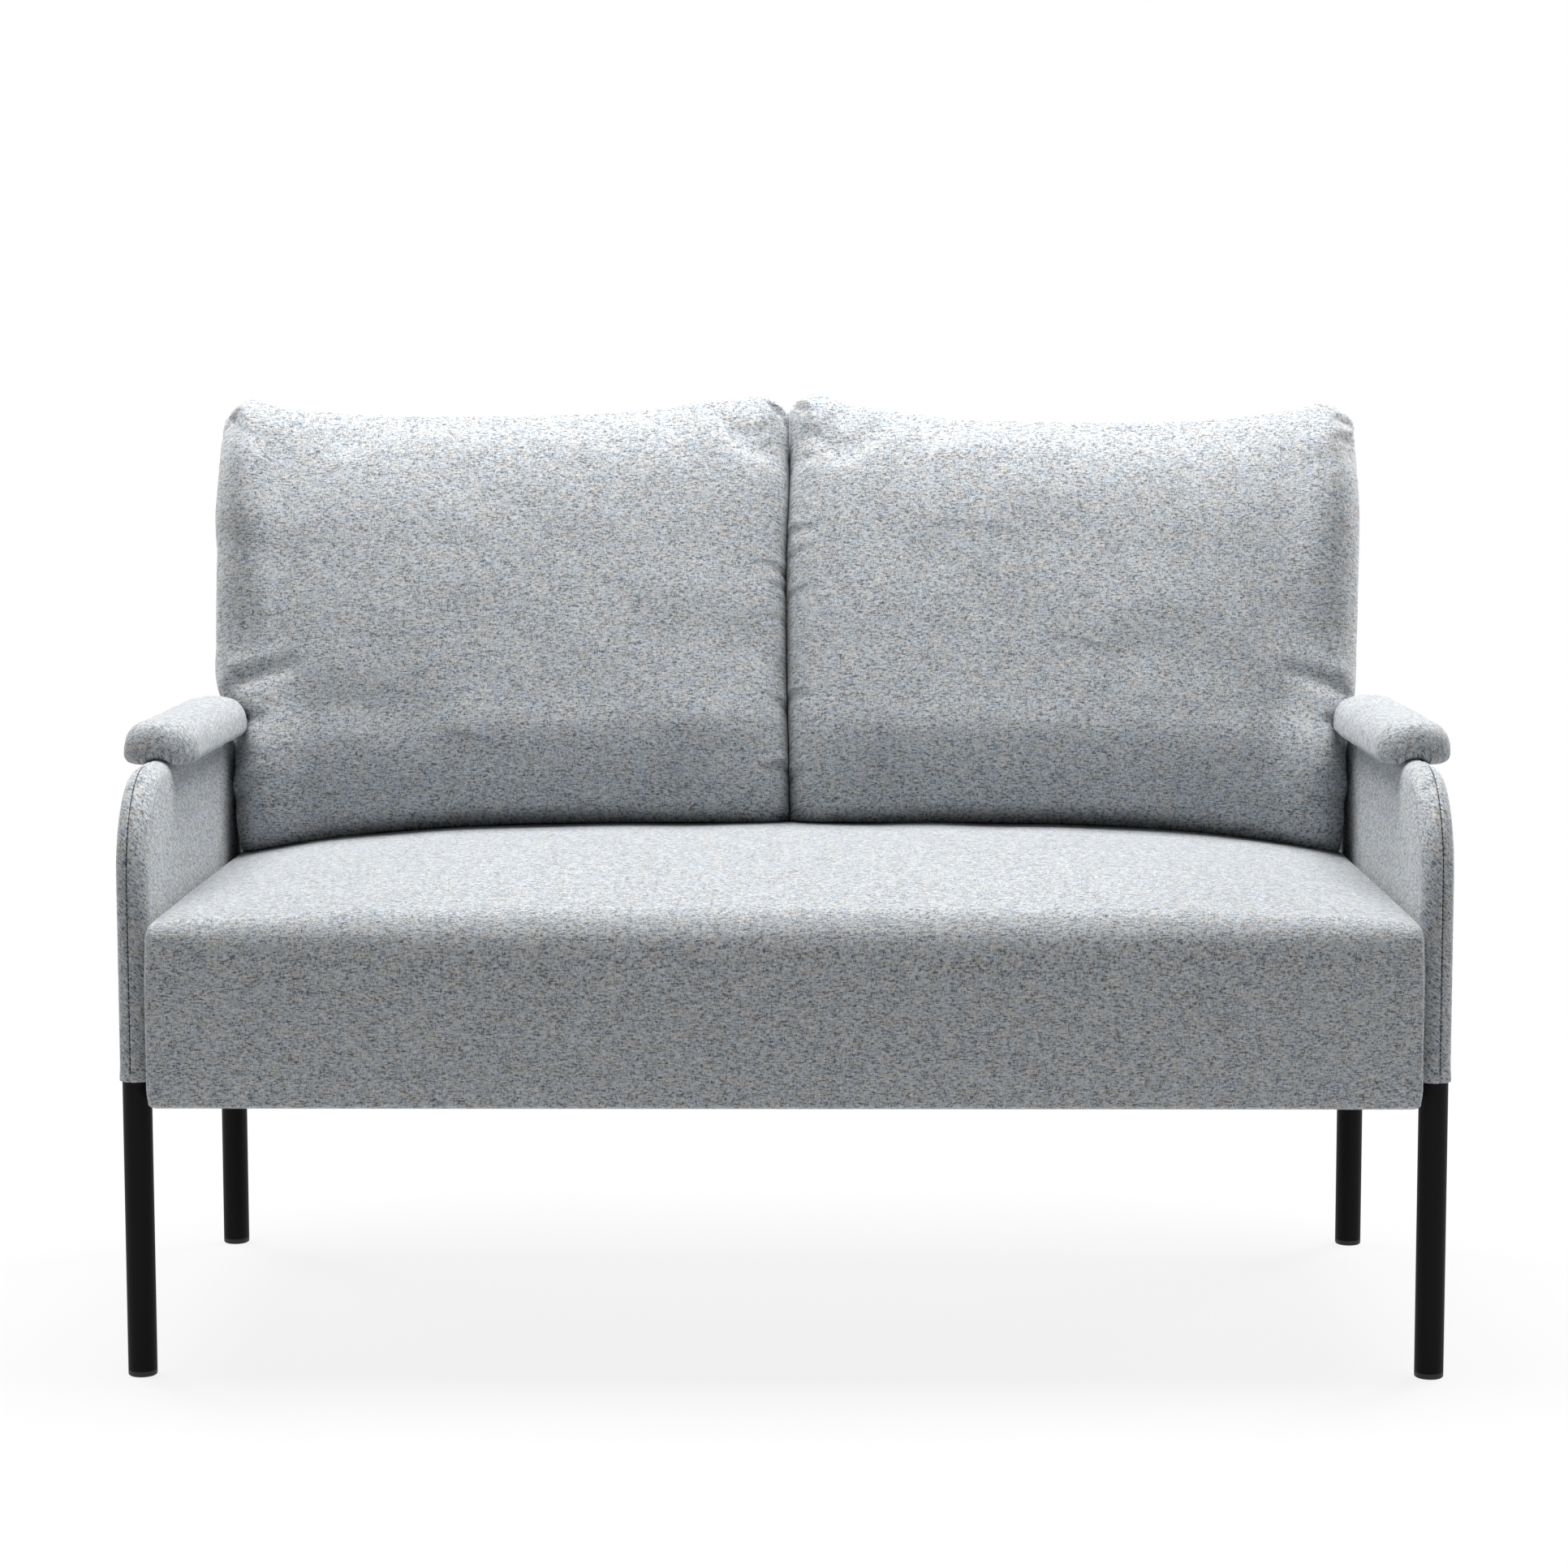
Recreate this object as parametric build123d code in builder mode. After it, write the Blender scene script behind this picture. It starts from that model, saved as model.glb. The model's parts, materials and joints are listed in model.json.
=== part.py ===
"""Two-seat sofa: bent steel side frames in fitted fabric sleeves, a crowned seat, a leaning back
and two loose back cushions.

X runs across the seat, Y from front to back, Z up.  The origin lies on the floor under the
middle of the sofa's overall depth, and the front faces -Y.
"""

from build123d import *
from math import cos, radians, sin, sqrt, tan
import os

os.makedirs("parts", exist_ok=True)

# General fits
soft_clear = 0.3
rigid_clear = 0.5
overrun = 5.0

# Side frames: bent steel tube, one per side
leg_spacing_x = 1330.0
leg_spacing_y = 600.0
tube_d = 30.0
tube_wall = 2.0
arm_rail_z = 609.0
bend_r = 90.0
side_rail_d = 20.0
side_rail_wall = 1.5
side_rail_z = 347.0

# Push-in glides under the legs
glide_cap_h = 6.0
glide_edge_r = 2.5
glide_stem_h = 24.0
glide_rib_h = 1.6
glide_rib_gap = 4.4
glide_rib_depth = 1.2
glide_rib_count = 3
glide_fit = 0.08

# Fabric
fabric_t = 1.7
sleeve_hem_z = 310.0

# Crossbeams: folded steel channel, open below
beam_depth = 30.0
beam_h = 44.0
beam_wall = 3.0
beam_plate_t = 5.0
spacer_t = 10.0
spacer_w = 24.0
spacer_h = 40.0
spacer_corner_r = 6.0
frame_bolt_d = 8.0
frame_bolt_pitch = 22.0
bolt_hole_clear = 0.5
bolt_fit = 0.1
bolt_head_d = 13.0
bolt_head_h = 5.0
bolt_socket_d = 5.8
bolt_socket_depth = 2.8
nut_insert_d = 11.0
nut_insert_l = 13.0
saddle_fit = 0.1

# Seat block
seat_bottom_z = 290.0
seat_side_z = 478.0
seat_overhang = 60.0
seat_rear_gap = 1.5
seat_side_gap = 4.0
seat_crown = 38.0
seat_front_crown = 14.0
seat_rear_crown = 31.0
seat_side_rise = 1.0
seat_crown_power = 3.7
seat_nose_side_r = 20.0
seat_nose_mid_r = 42.0
seat_nose_lead = 0.3
seat_corner_r = 12.0
seat_hem_w = 45.0
seat_station_shares = (0.0, 0.45, 0.70, 0.85, 0.94, 1.0)

# Seat timber frame and springing
front_rail_gap = 0.5
rail_t = 22.0
rail_h = 88.0
corner_block_leg = 60.0
webbing_w = 60.0
webbing_t = 2.0
webbing_lap = 16.0
webbing_count = 14
felt_t = 2.0
dust_sheet_t = 0.8
dust_sheet_lap = 20.0
seat_screw_d = 8.0
seat_screw_l = 38.0
seat_screw_count = 3
seat_screw_pitch = 480.0

# Back rest
back_lean = 14.5
back_foot_gap = 4.5
back_foot_z = 490.0
back_h = 480.0
back_side_gap = 6.0
back_stile_w = 45.0
back_timber_t = 22.0
back_foam_t = 18.0
back_edge_r = 8.0
back_rail_w = 60.0
back_mid_rail_share = 0.42
back_web_w = 70.0
back_web_count = 7
back_web_t = 2.0
upright_w = 45.0
upright_t = 8.0
upright_span = 800.0
upright_reach_share = 0.56
upright_screw_d = 6.0
upright_screw_l = 18.0
upright_head_d = 12.0
upright_head_h = 3.0
upright_corner_r = 6.0
upright_nut_h = 6.5

# Arm pads
pad_w = 77.0
pad_front_setback = 135.0
pad_rear_setback = 85.0
pad_t = 33.0
pad_corner_r = 30.0
pad_edge_r = 12.0
arm_board_t = 10.0
arm_board_inset = 11.0
arm_screw_d = 5.0
arm_screw_l = 44.0
arm_screw_head_d = 9.0
arm_screw_head_h = 2.5
arm_screw_pitch = 240.0

# Loose back cushions
cushion_gap = 1.2
cushion_side_gap = 13.4
cushion_flare = 3.9
cushion_h = 500.5
cushion_t = 158.0
cushion_back_gap = 0.8
cushion_foot_rise = 17.4
cushion_corner_lift = 20.0
cushion_corner_drop = 30.0
cushion_station_shares = (0.0, 0.030, 0.10, 0.30, 0.50, 0.70, 0.90, 0.972, 1.0)
cushion_thick_shares = (0.60, 0.80, 0.92, 0.98, 1.0, 0.97, 0.88, 0.66, 0.42)
cushion_lift_shares = (0.16, 0.85, 0.75, 0.20, 0.0, 0.10, 0.41, 0.47, -0.51)
cushion_drop_shares = (-0.35, 0.05, 0.06, 0.02, 0.0, 0.10, 0.55, 0.80, 0.05)
cushion_crest_share = 0.42
cushion_belly_share = 0.44
cushion_head_share = 0.80
cushion_foot_share = 0.76
cushion_head_round_share = 0.29
cushion_foot_round_share = 0.25
cushion_rear_round_share = 0.19

# Worked out from the sizes above
tube_r = tube_d / 2
bore_r = tube_r - tube_wall
leg_x = leg_spacing_x / 2
sleeve_r = tube_r + soft_clear + fabric_t
sleeve_inner_x = leg_x - sleeve_r
seat_half_w = sleeve_inner_x - seat_side_gap
lean = radians(back_lean)
back_t = 2 * (fabric_t + soft_clear) + back_foam_t + back_web_t + back_timber_t
front_reach = leg_spacing_y / 2 + seat_overhang
beam_front = leg_spacing_y / 2 - beam_depth / 2
back_foot = beam_front - seat_rear_gap + back_foot_gap
rear_reach = back_foot + back_h * sin(lean) + back_t * cos(lean)
leg_mid_y = (front_reach - rear_reach) / 2
front_leg_y = leg_mid_y - leg_spacing_y / 2
rear_leg_y = leg_mid_y + leg_spacing_y / 2
seat_front_y = front_leg_y - seat_overhang
seat_rear_y = rear_leg_y - beam_depth / 2 - seat_rear_gap
seat_depth = seat_rear_y - seat_front_y
seat_mid_y = (seat_front_y + seat_rear_y) / 2
insert_setback = tube_r - sqrt(tube_r**2 - (nut_insert_d / 2) ** 2)
beam_z = side_rail_z
beam_end_x = leg_x - tube_r - spacer_t
saddle_reach = spacer_t + tube_r - side_rail_d / 2 - rigid_clear
timber_z = seat_bottom_z + fabric_t + soft_clear
timber_top_z = timber_z + rail_h
skin = fabric_t + soft_clear
timber_half_w = seat_half_w - skin
timber_front_y = seat_front_y + skin
timber_rear_y = seat_rear_y - skin
front_rail_t = seat_overhang - beam_depth / 2 - skin - front_rail_gap
back_half_w = sleeve_inner_x - back_side_gap
cushion_foot_w = sleeve_inner_x - cushion_side_gap - cushion_gap / 2
sides = ((-1, "left"), (1, "right"))


def save(piece, name):
    """Label one finished sub-part and write it."""
    piece.part.label = name
    export_step(piece.part, "parts/" + name + ".step")


def side_plane(x):
    """Plane across the sofa at x, with its own x along Y and its own y along Z."""
    return Plane(origin=(x, 0, 0), x_dir=(0, 1, 0), z_dir=(1, 0, 0))


def back_plane(x, tilt):
    """Plane across the leaning back: its x climbs the back, its y points out of its face.

    The plane starts at the foot of the back's front face, turned by tilt degrees so that
    its upper end leans outwards."""
    climb = Vector(0, sin(lean), cos(lean))
    foot = Vector(x, leg_mid_y + back_foot, back_foot_z)
    turned = climb * cos(radians(tilt)) + Vector(sin(radians(tilt)), 0, 0)
    normal = Vector(cos(radians(tilt)), 0, 0) - climb * sin(radians(tilt))
    return Plane(origin=foot, x_dir=turned, z_dir=normal)


def face_plane(depth=0.0):
    """Plane on the back's front face, sunk by depth: its x runs across, its y climbs."""
    out = Vector(0, -cos(lean), sin(lean))
    foot = Vector(0, leg_mid_y + back_foot, back_foot_z)
    return Plane(origin=foot - out * depth, x_dir=(1, 0, 0), z_dir=out)


# Side frames

def frame_path(x):
    """Centre line of one bent tube, from one foot up and over to the other."""
    with BuildLine(side_plane(x)) as path:
        FilletPolyline(
            (front_leg_y, glide_cap_h),
            (front_leg_y, arm_rail_z),
            (rear_leg_y, arm_rail_z),
            (rear_leg_y, glide_cap_h),
            radius=bend_r,
        )
    return path.line


def leg_bolt_places(side):
    """Centres of the frame bolts on one side, at the inner wall of each leg."""
    return [
        (side * (leg_x - tube_r), leg_y, beam_z + up * frame_bolt_pitch / 2)
        for leg_y in (front_leg_y, rear_leg_y)
        for up in (-1, 1)
    ]


def arm_screw_places(side):
    """Where the screws of one arm pad cross the arm rail."""
    middle = (front_leg_y + pad_front_setback + rear_leg_y - pad_rear_setback) / 2
    return [
        (side * leg_x, middle - arm_screw_pitch / 2),
        (side * leg_x, middle + arm_screw_pitch / 2),
    ]


def side_frame(side):
    """Bent tube with its lower side rail coped to both legs, bolt holes and screw holes."""
    x = side * leg_x
    path = frame_path(x)
    foot = Plane(origin=(x, front_leg_y, glide_cap_h), z_dir=(0, 0, 1))
    rail_start = Plane(origin=(x, front_leg_y, side_rail_z), x_dir=(1, 0, 0), z_dir=(0, 1, 0))
    with BuildPart() as frame:
        with BuildSketch(foot):
            Circle(tube_r)
        sweep(path=path)
        with BuildSketch(rail_start):
            Circle(side_rail_d / 2)
        extrude(amount=leg_spacing_y)
        with BuildSketch(rail_start.offset(tube_r)):
            Circle(side_rail_d / 2 - side_rail_wall)
        extrude(amount=leg_spacing_y - 2 * tube_r, mode=Mode.SUBTRACT)
        with BuildSketch(foot):
            Circle(bore_r)
        sweep(path=path, mode=Mode.SUBTRACT)
        for place in leg_bolt_places(side):
            with Locations(Location(place, (0, 90, 0))):
                Cylinder(nut_insert_d / 2 + rigid_clear / 2, 2 * tube_wall + overrun, mode=Mode.SUBTRACT)
        for screw_x, screw_y in arm_screw_places(side):
            with Locations((screw_x, screw_y, arm_rail_z)):
                Cylinder(arm_screw_d / 2 + rigid_clear / 2, tube_d + overrun, mode=Mode.SUBTRACT)
    return frame


def glide(x, y):
    """Push-in glide: a ribbed stem in the tube and a round-edged cap under it."""
    stem_r = bore_r - glide_fit
    root_r = stem_r - glide_rib_depth
    rib_pitch = glide_rib_h + glide_rib_gap
    with BuildPart() as foot:
        with BuildSketch(Plane.XY):
            with Locations((x, y)):
                Circle(tube_r)
        extrude(amount=glide_cap_h)
        fillet(foot.edges().group_by(Axis.Z)[0], glide_edge_r)
        with BuildSketch(Plane.XY.offset(glide_cap_h)):
            with Locations((x, y)):
                Circle(root_r)
        extrude(amount=glide_stem_h)
        for rib in range(glide_rib_count):
            with BuildSketch(Plane.XY.offset(glide_cap_h + glide_rib_gap + rib * rib_pitch)):
                with Locations((x, y)):
                    Circle(stem_r)
            extrude(amount=glide_rib_h)
    return foot


for side, side_name in sides:
    save(side_frame(side), "side_frame_" + side_name)
    for leg_y, leg_name in ((front_leg_y, "front"), (rear_leg_y, "rear")):
        save(glide(side * leg_x, leg_y), "glide_" + leg_name + "_" + side_name)


# Fabric sleeves and the foam inside them

def sleeve_sheet(x, grow, hem_z, thickness):
    """Flat sheet that follows the bent tube, grown about its centre line, x its outer face."""
    width = leg_spacing_y + 2 * grow
    height = arm_rail_z + grow - hem_z
    with BuildPart() as sheet:
        with BuildSketch(side_plane(x)) as outline:
            with Locations((leg_mid_y, hem_z)):
                Rectangle(width, height, align=(Align.CENTER, Align.MIN))
            fillet(outline.vertices().group_by(Axis.Y)[-1], bend_r + grow)
        extrude(amount=thickness)
    return sheet.part


def sleeve_body(x, r, hem_z):
    """Solid in the shape of a flat bag over the frame: half round along the tube, flat between."""
    edge = Plane(origin=(x, front_leg_y, hem_z), z_dir=(0, 0, 1))
    with BuildLine(side_plane(x)) as path:
        FilletPolyline(
            (front_leg_y, hem_z),
            (front_leg_y, arm_rail_z),
            (rear_leg_y, arm_rail_z),
            (rear_leg_y, hem_z),
            radius=bend_r,
        )
    with BuildPart() as body:
        with BuildSketch(edge):
            Circle(r)
        sweep(path=path.line)
        add(sleeve_sheet(x - r, 0.0, hem_z, 2 * r))
    return body.part


def side_cover(side):
    """Fabric sleeve: open below, with a window at each leg for the beam's saddle."""
    x = side * leg_x
    outer = sleeve_body(x, sleeve_r, sleeve_hem_z)
    inner = sleeve_body(x, sleeve_r - fabric_t, sleeve_hem_z - overrun)
    with BuildPart() as cover:
        add(outer)
        add(inner, mode=Mode.SUBTRACT)
        for leg_y in (front_leg_y, rear_leg_y):
            with Locations((side * (leg_x - tube_r), leg_y, beam_z)):
                Box(
                    2 * (sleeve_r - tube_r) + 2 * overrun,
                    spacer_w + 2 * soft_clear,
                    spacer_h + 2 * soft_clear,
                    mode=Mode.SUBTRACT,
                )
        for screw_x, screw_y in arm_screw_places(side):
            with Locations((screw_x, screw_y, arm_rail_z + sleeve_r)):
                Cylinder(arm_screw_d / 2 + soft_clear, 2 * fabric_t + overrun, mode=Mode.SUBTRACT)
    return cover


def side_foam(side):
    """Foam sheet that fills the frame between its legs and keeps the sleeve flat."""
    x = side * leg_x
    with BuildPart() as foam:
        add(sleeve_sheet(x - tube_r, -(tube_r + soft_clear), sleeve_hem_z + fabric_t, tube_d))
        with Locations(Location((x, leg_mid_y, side_rail_z), (90, 0, 0))):
            Cylinder(side_rail_d / 2 + soft_clear, leg_spacing_y, mode=Mode.SUBTRACT)
        for screw_x, screw_y in arm_screw_places(side):
            with Locations((screw_x, screw_y, arm_rail_z - tube_r)):
                Cylinder(
                    arm_screw_head_d / 2 + soft_clear,
                    2 * (arm_screw_head_h + soft_clear),
                    mode=Mode.SUBTRACT,
                )
    return foam


for side, side_name in sides:
    save(side_cover(side), "side_cover_" + side_name)
    save(side_foam(side), "side_foam_" + side_name)


# Crossbeams, saddles, bolts and threaded inserts

def seat_screw_xs():
    """Places across the sofa where the seat is screwed to its beams."""
    middle = (seat_screw_count - 1) / 2
    return [(number - middle) * seat_screw_pitch for number in range(seat_screw_count)]


def upright_xs():
    return (-upright_span / 2, upright_span / 2)


def crossbeam(leg_y, bolt_xs):
    """Channel folded down on both sides, with an end plate at each leg.

    Its front wall is drilled for the seat's screws and its rear wall at bolt_xs."""
    low = beam_z - beam_h / 2
    with BuildPart() as beam:
        with BuildSketch(Plane(origin=(-beam_end_x, leg_y, low), x_dir=(0, 1, 0), z_dir=(1, 0, 0))):
            Rectangle(beam_depth, beam_h, align=(Align.CENTER, Align.MIN))
            Rectangle(
                beam_depth - 2 * beam_wall,
                beam_h - beam_wall,
                align=(Align.CENTER, Align.MIN),
                mode=Mode.SUBTRACT,
            )
        extrude(amount=2 * beam_end_x)
        for end in (-1, 1):
            with Locations((end * (beam_end_x - beam_plate_t / 2), leg_y, beam_z)):
                Box(beam_plate_t, beam_depth, beam_h)
            for up in (-1, 1):
                hole = (end * beam_end_x, leg_y, beam_z + up * frame_bolt_pitch / 2)
                with Locations(Location(hole, (0, 90, 0))):
                    Cylinder(
                        frame_bolt_d / 2 + bolt_hole_clear / 2,
                        2 * beam_plate_t + overrun,
                        mode=Mode.SUBTRACT,
                    )
        for x in seat_screw_xs():
            with Locations(Location((x, leg_y - beam_depth / 2, beam_z), (90, 0, 0))):
                Cylinder(
                    seat_screw_d / 2 + bolt_hole_clear / 2,
                    2 * beam_wall + overrun,
                    mode=Mode.SUBTRACT,
                )
        for x in bolt_xs:
            for up in (-1, 1):
                hole = (x, leg_y + beam_depth / 2, beam_z + up * frame_bolt_pitch / 2)
                with Locations(Location(hole, (90, 0, 0))):
                    Cylinder(
                        frame_bolt_d / 2 + bolt_hole_clear / 2,
                        2 * beam_wall + overrun,
                        mode=Mode.SUBTRACT,
                    )
    return beam


def saddle_spacers():
    """Plastic saddles between the round legs and the flat ends of the beams."""
    with BuildPart() as saddles:
        for side in (-1, 1):
            for leg_y in (front_leg_y, rear_leg_y):
                beam_end = (side * beam_end_x, leg_y, beam_z)
                with BuildSketch(Plane(origin=beam_end, x_dir=(0, 1, 0), z_dir=(side, 0, 0))):
                    RectangleRounded(spacer_w, spacer_h, spacer_corner_r)
                    with GridLocations(frame_bolt_pitch, frame_bolt_pitch, 1, 2):
                        Circle(frame_bolt_d / 2 + bolt_hole_clear / 2, mode=Mode.SUBTRACT)
                extrude(amount=saddle_reach)
                with Locations((side * leg_x, leg_y, beam_z)):
                    Cylinder(tube_r + saddle_fit, spacer_h + overrun, mode=Mode.SUBTRACT)
    return saddles


def leg_inserts():
    """Threaded inserts riveted into the inner wall of the legs."""
    with BuildPart() as inserts:
        for side in (-1, 1):
            for place in leg_bolt_places(side):
                with BuildSketch(Plane(origin=place, z_dir=(side, 0, 0)).offset(insert_setback)):
                    Circle(nut_insert_d / 2)
                    Circle(frame_bolt_d / 2 + bolt_fit / 2, mode=Mode.SUBTRACT)
                extrude(amount=nut_insert_l)
    return inserts


def frame_bolts():
    """Button-head bolts through the beams' end plates and saddles into the legs."""
    reach = beam_plate_t + spacer_t + insert_setback + nut_insert_l
    with BuildPart() as bolts:
        for side in (-1, 1):
            for x, y, z in leg_bolt_places(side):
                head = Plane(origin=(side * (beam_end_x - beam_plate_t), y, z), z_dir=(-side, 0, 0))
                with BuildSketch(head):
                    Circle(bolt_head_d / 2)
                extrude(amount=bolt_head_h)
                with BuildSketch(head.offset(bolt_head_h)):
                    RegularPolygon(bolt_socket_d / 2, 6)
                extrude(amount=-bolt_socket_depth, mode=Mode.SUBTRACT)
                with BuildSketch(head):
                    Circle(frame_bolt_d / 2)
                extrude(amount=-reach)
    return bolts


save(crossbeam(front_leg_y, ()), "front_crossbeam")
save(crossbeam(rear_leg_y, upright_xs()), "rear_crossbeam")
save(saddle_spacers(), "saddle_spacers")
save(leg_inserts(), "leg_inserts")
save(frame_bolts(), "frame_bolts")


# Seat: timber frame, webbing, felt, foam and cover

def crown_share(share):
    """How much of the seat's crown is left at a share of its half width."""
    return 1 - abs(share) ** seat_crown_power


def seat_waste_profile(plane, share, inset):
    """Side view of the waste above the seat at one station: round the nose, over the crown."""
    left = crown_share(share)
    front = seat_front_y + inset - seat_nose_lead
    rear = seat_rear_y - inset
    nose_r = seat_nose_side_r + (seat_nose_mid_r - seat_nose_side_r) * left
    nose_z = seat_side_z + seat_front_crown * left - inset
    rear_z = seat_side_z + seat_rear_crown * left - inset
    top_z = seat_side_z + seat_side_rise + seat_crown * left - inset
    clear_z = seat_side_z + seat_crown + 2 * overrun
    with BuildSketch(plane) as profile:
        with BuildLine():
            RadiusArc((front, nose_z - nose_r), (front + nose_r, nose_z), nose_r)
            ThreePointArc((front + nose_r, nose_z), (seat_mid_y, top_z), (rear + overrun, rear_z))
            Polyline(
                (rear + overrun, rear_z),
                (rear + overrun, clear_z),
                (front - overrun, clear_z),
                (front - overrun, nose_z - nose_r),
                (front, nose_z - nose_r),
            )
        make_face()
    return profile.sketch


def seat_body(inset, foot_z):
    """Seat block on a rounded plan, its crown cut over the top, drawn in all round by inset."""
    half = seat_half_w - inset
    shares = [-share for share in reversed(seat_station_shares[1:])] + list(seat_station_shares)
    with BuildPart() as body:
        with BuildSketch(Plane.XY.offset(foot_z)):
            with Locations((0, seat_mid_y)):
                RectangleRounded(2 * half, seat_depth - 2 * inset, seat_corner_r - inset)
        extrude(amount=seat_side_z + seat_crown + overrun - foot_z)
        for share in shares:
            reach = half + overrun if abs(share) == 1 else abs(share) * half
            x = -reach if share < 0 else reach
            add(seat_waste_profile(side_plane(x), share, inset))
        loft(mode=Mode.SUBTRACT)
    return body.part


def seat_cover():
    """Fabric cover over the whole block, turned in under the frame by a hem."""
    window_w = 2 * (seat_half_w - seat_hem_w)
    window_l = seat_depth - 2 * seat_hem_w
    shell_hole_w = beam_depth + 2 * rigid_clear
    with BuildPart() as cover:
        add(seat_body(0.0, seat_bottom_z))
        add(seat_body(fabric_t, seat_bottom_z + fabric_t), mode=Mode.SUBTRACT)
        with Locations((0, seat_mid_y, seat_bottom_z)):
            Box(window_w, window_l, 2 * fabric_t + overrun, mode=Mode.SUBTRACT)
        with Locations((0, front_leg_y, beam_z)):
            Box(2 * seat_half_w + overrun, shell_hole_w, beam_h + 2 * rigid_clear, mode=Mode.SUBTRACT)
        for x in seat_screw_xs():
            with Locations(Location((x, seat_rear_y, beam_z), (90, 0, 0))):
                Cylinder(seat_screw_d / 2 + rigid_clear, 2 * fabric_t + overrun, mode=Mode.SUBTRACT)
    return cover


def front_rail():
    rear = timber_front_y + front_rail_t
    with BuildPart() as rail:
        with Locations((0, timber_front_y, timber_z)):
            Box(2 * timber_half_w, front_rail_t, rail_h, align=(Align.CENTER, Align.MIN, Align.MIN))
        fillet(rail.edges().filter_by(Axis.Z).group_by(Axis.Y)[0], seat_corner_r)
        for x in seat_screw_xs():
            with Locations(Location((x, rear, beam_z), (90, 0, 0))):
                Cylinder(seat_screw_d / 2, 2 * (seat_screw_l - beam_wall), mode=Mode.SUBTRACT)
    return rail


def rear_rail():
    with BuildPart() as rail:
        with Locations((0, timber_rear_y, timber_z)):
            Box(2 * timber_half_w, rail_t, rail_h, align=(Align.CENTER, Align.MAX, Align.MIN))
        fillet(rail.edges().filter_by(Axis.Z).group_by(Axis.Y)[-1], seat_corner_r)
        for x in seat_screw_xs():
            with Locations(Location((x, timber_rear_y, beam_z), (90, 0, 0))):
                Cylinder(seat_screw_d / 2, 2 * (rail_t + overrun), mode=Mode.SUBTRACT)
    return rail


def end_rail(side):
    """End rail with a notch below for the front beam."""
    start = timber_front_y + front_rail_t
    length = timber_rear_y - rail_t - start
    notch = beam_h / 2 + beam_z - timber_z + rigid_clear
    with BuildPart() as rail:
        with Locations((side * (timber_half_w - rail_t / 2), start, timber_z)):
            Box(rail_t, length, rail_h, align=(Align.CENTER, Align.MIN, Align.MIN))
        with Locations((side * (timber_half_w - rail_t / 2), front_leg_y, timber_z)):
            Box(
                rail_t + overrun,
                beam_depth + 2 * rigid_clear,
                2 * notch,
                mode=Mode.SUBTRACT,
            )
    return rail


def inner_rails():
    """Two rails from front to back under the webbing, notched like the end rails."""
    start = timber_front_y + front_rail_t
    length = timber_rear_y - rail_t - start
    notch = beam_h / 2 + beam_z - timber_z + rigid_clear
    with BuildPart() as rails:
        for x in (-seat_screw_pitch / 2, seat_screw_pitch / 2):
            with Locations((x, start, timber_z)):
                Box(rail_t, length, rail_h, align=(Align.CENTER, Align.MIN, Align.MIN))
            with Locations((x, front_leg_y, timber_z)):
                Box(rail_t + overrun, beam_depth + 2 * rigid_clear, 2 * notch, mode=Mode.SUBTRACT)
    return rails


def corner_blocks():
    """Glued triangular blocks in the four inner corners of the timber frame."""
    inner_x = timber_half_w - rail_t
    rear = timber_rear_y - rail_t
    front = front_leg_y + beam_depth / 2 + rigid_clear
    with BuildPart() as blocks:
        for side in (-1, 1):
            with BuildSketch(Plane.XY.offset(timber_z)):
                with BuildLine():
                    Polyline(
                        (side * inner_x, rear),
                        (side * (inner_x - corner_block_leg), rear),
                        (side * inner_x, rear - corner_block_leg),
                        close=True,
                    )
                make_face()
            extrude(amount=rail_h)
            with BuildSketch(Plane.XY.offset(timber_z)):
                with BuildLine():
                    Polyline(
                        (side * inner_x, front),
                        (side * (inner_x - corner_block_leg), front),
                        (side * inner_x, front + corner_block_leg),
                        close=True,
                    )
                make_face()
            extrude(amount=rail_h)
    return blocks


def seat_webbing():
    """Elastic straps from the front rail to the rear rail, side by side."""
    start = timber_front_y + front_rail_t - webbing_lap
    end = timber_rear_y - rail_t + webbing_lap
    spread = 2 * (timber_half_w - rail_t) - webbing_w
    pitch = spread / (webbing_count - 1)
    with BuildPart() as straps:
        with Locations((0, (start + end) / 2, timber_top_z + webbing_t / 2)):
            with GridLocations(pitch, 0, webbing_count, 1):
                Box(webbing_w, end - start, webbing_t)
    return straps


def seat_felt():
    """Felt sheet over the webbing, as wide as the frame."""
    with BuildPart() as felt:
        with Locations((0, seat_mid_y, timber_top_z + webbing_t)):
            Box(
                2 * (timber_half_w - seat_corner_r),
                seat_depth - 2 * skin - 2 * seat_corner_r,
                felt_t,
                align=(Align.CENTER, Align.CENTER, Align.MIN),
            )
    return felt


def seat_foam():
    with BuildPart() as foam:
        add(seat_body(skin, timber_top_z + webbing_t + felt_t))
    return foam


def dust_sheet():
    """Thin cloth that closes the seat's underside, tacked over the cover's hem."""
    with BuildPart() as sheet:
        with Locations((0, seat_mid_y, seat_bottom_z)):
            Box(
                2 * (seat_half_w - dust_sheet_lap),
                seat_depth - 2 * dust_sheet_lap,
                dust_sheet_t,
                align=(Align.CENTER, Align.CENTER, Align.MAX),
            )
    return sheet


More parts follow.
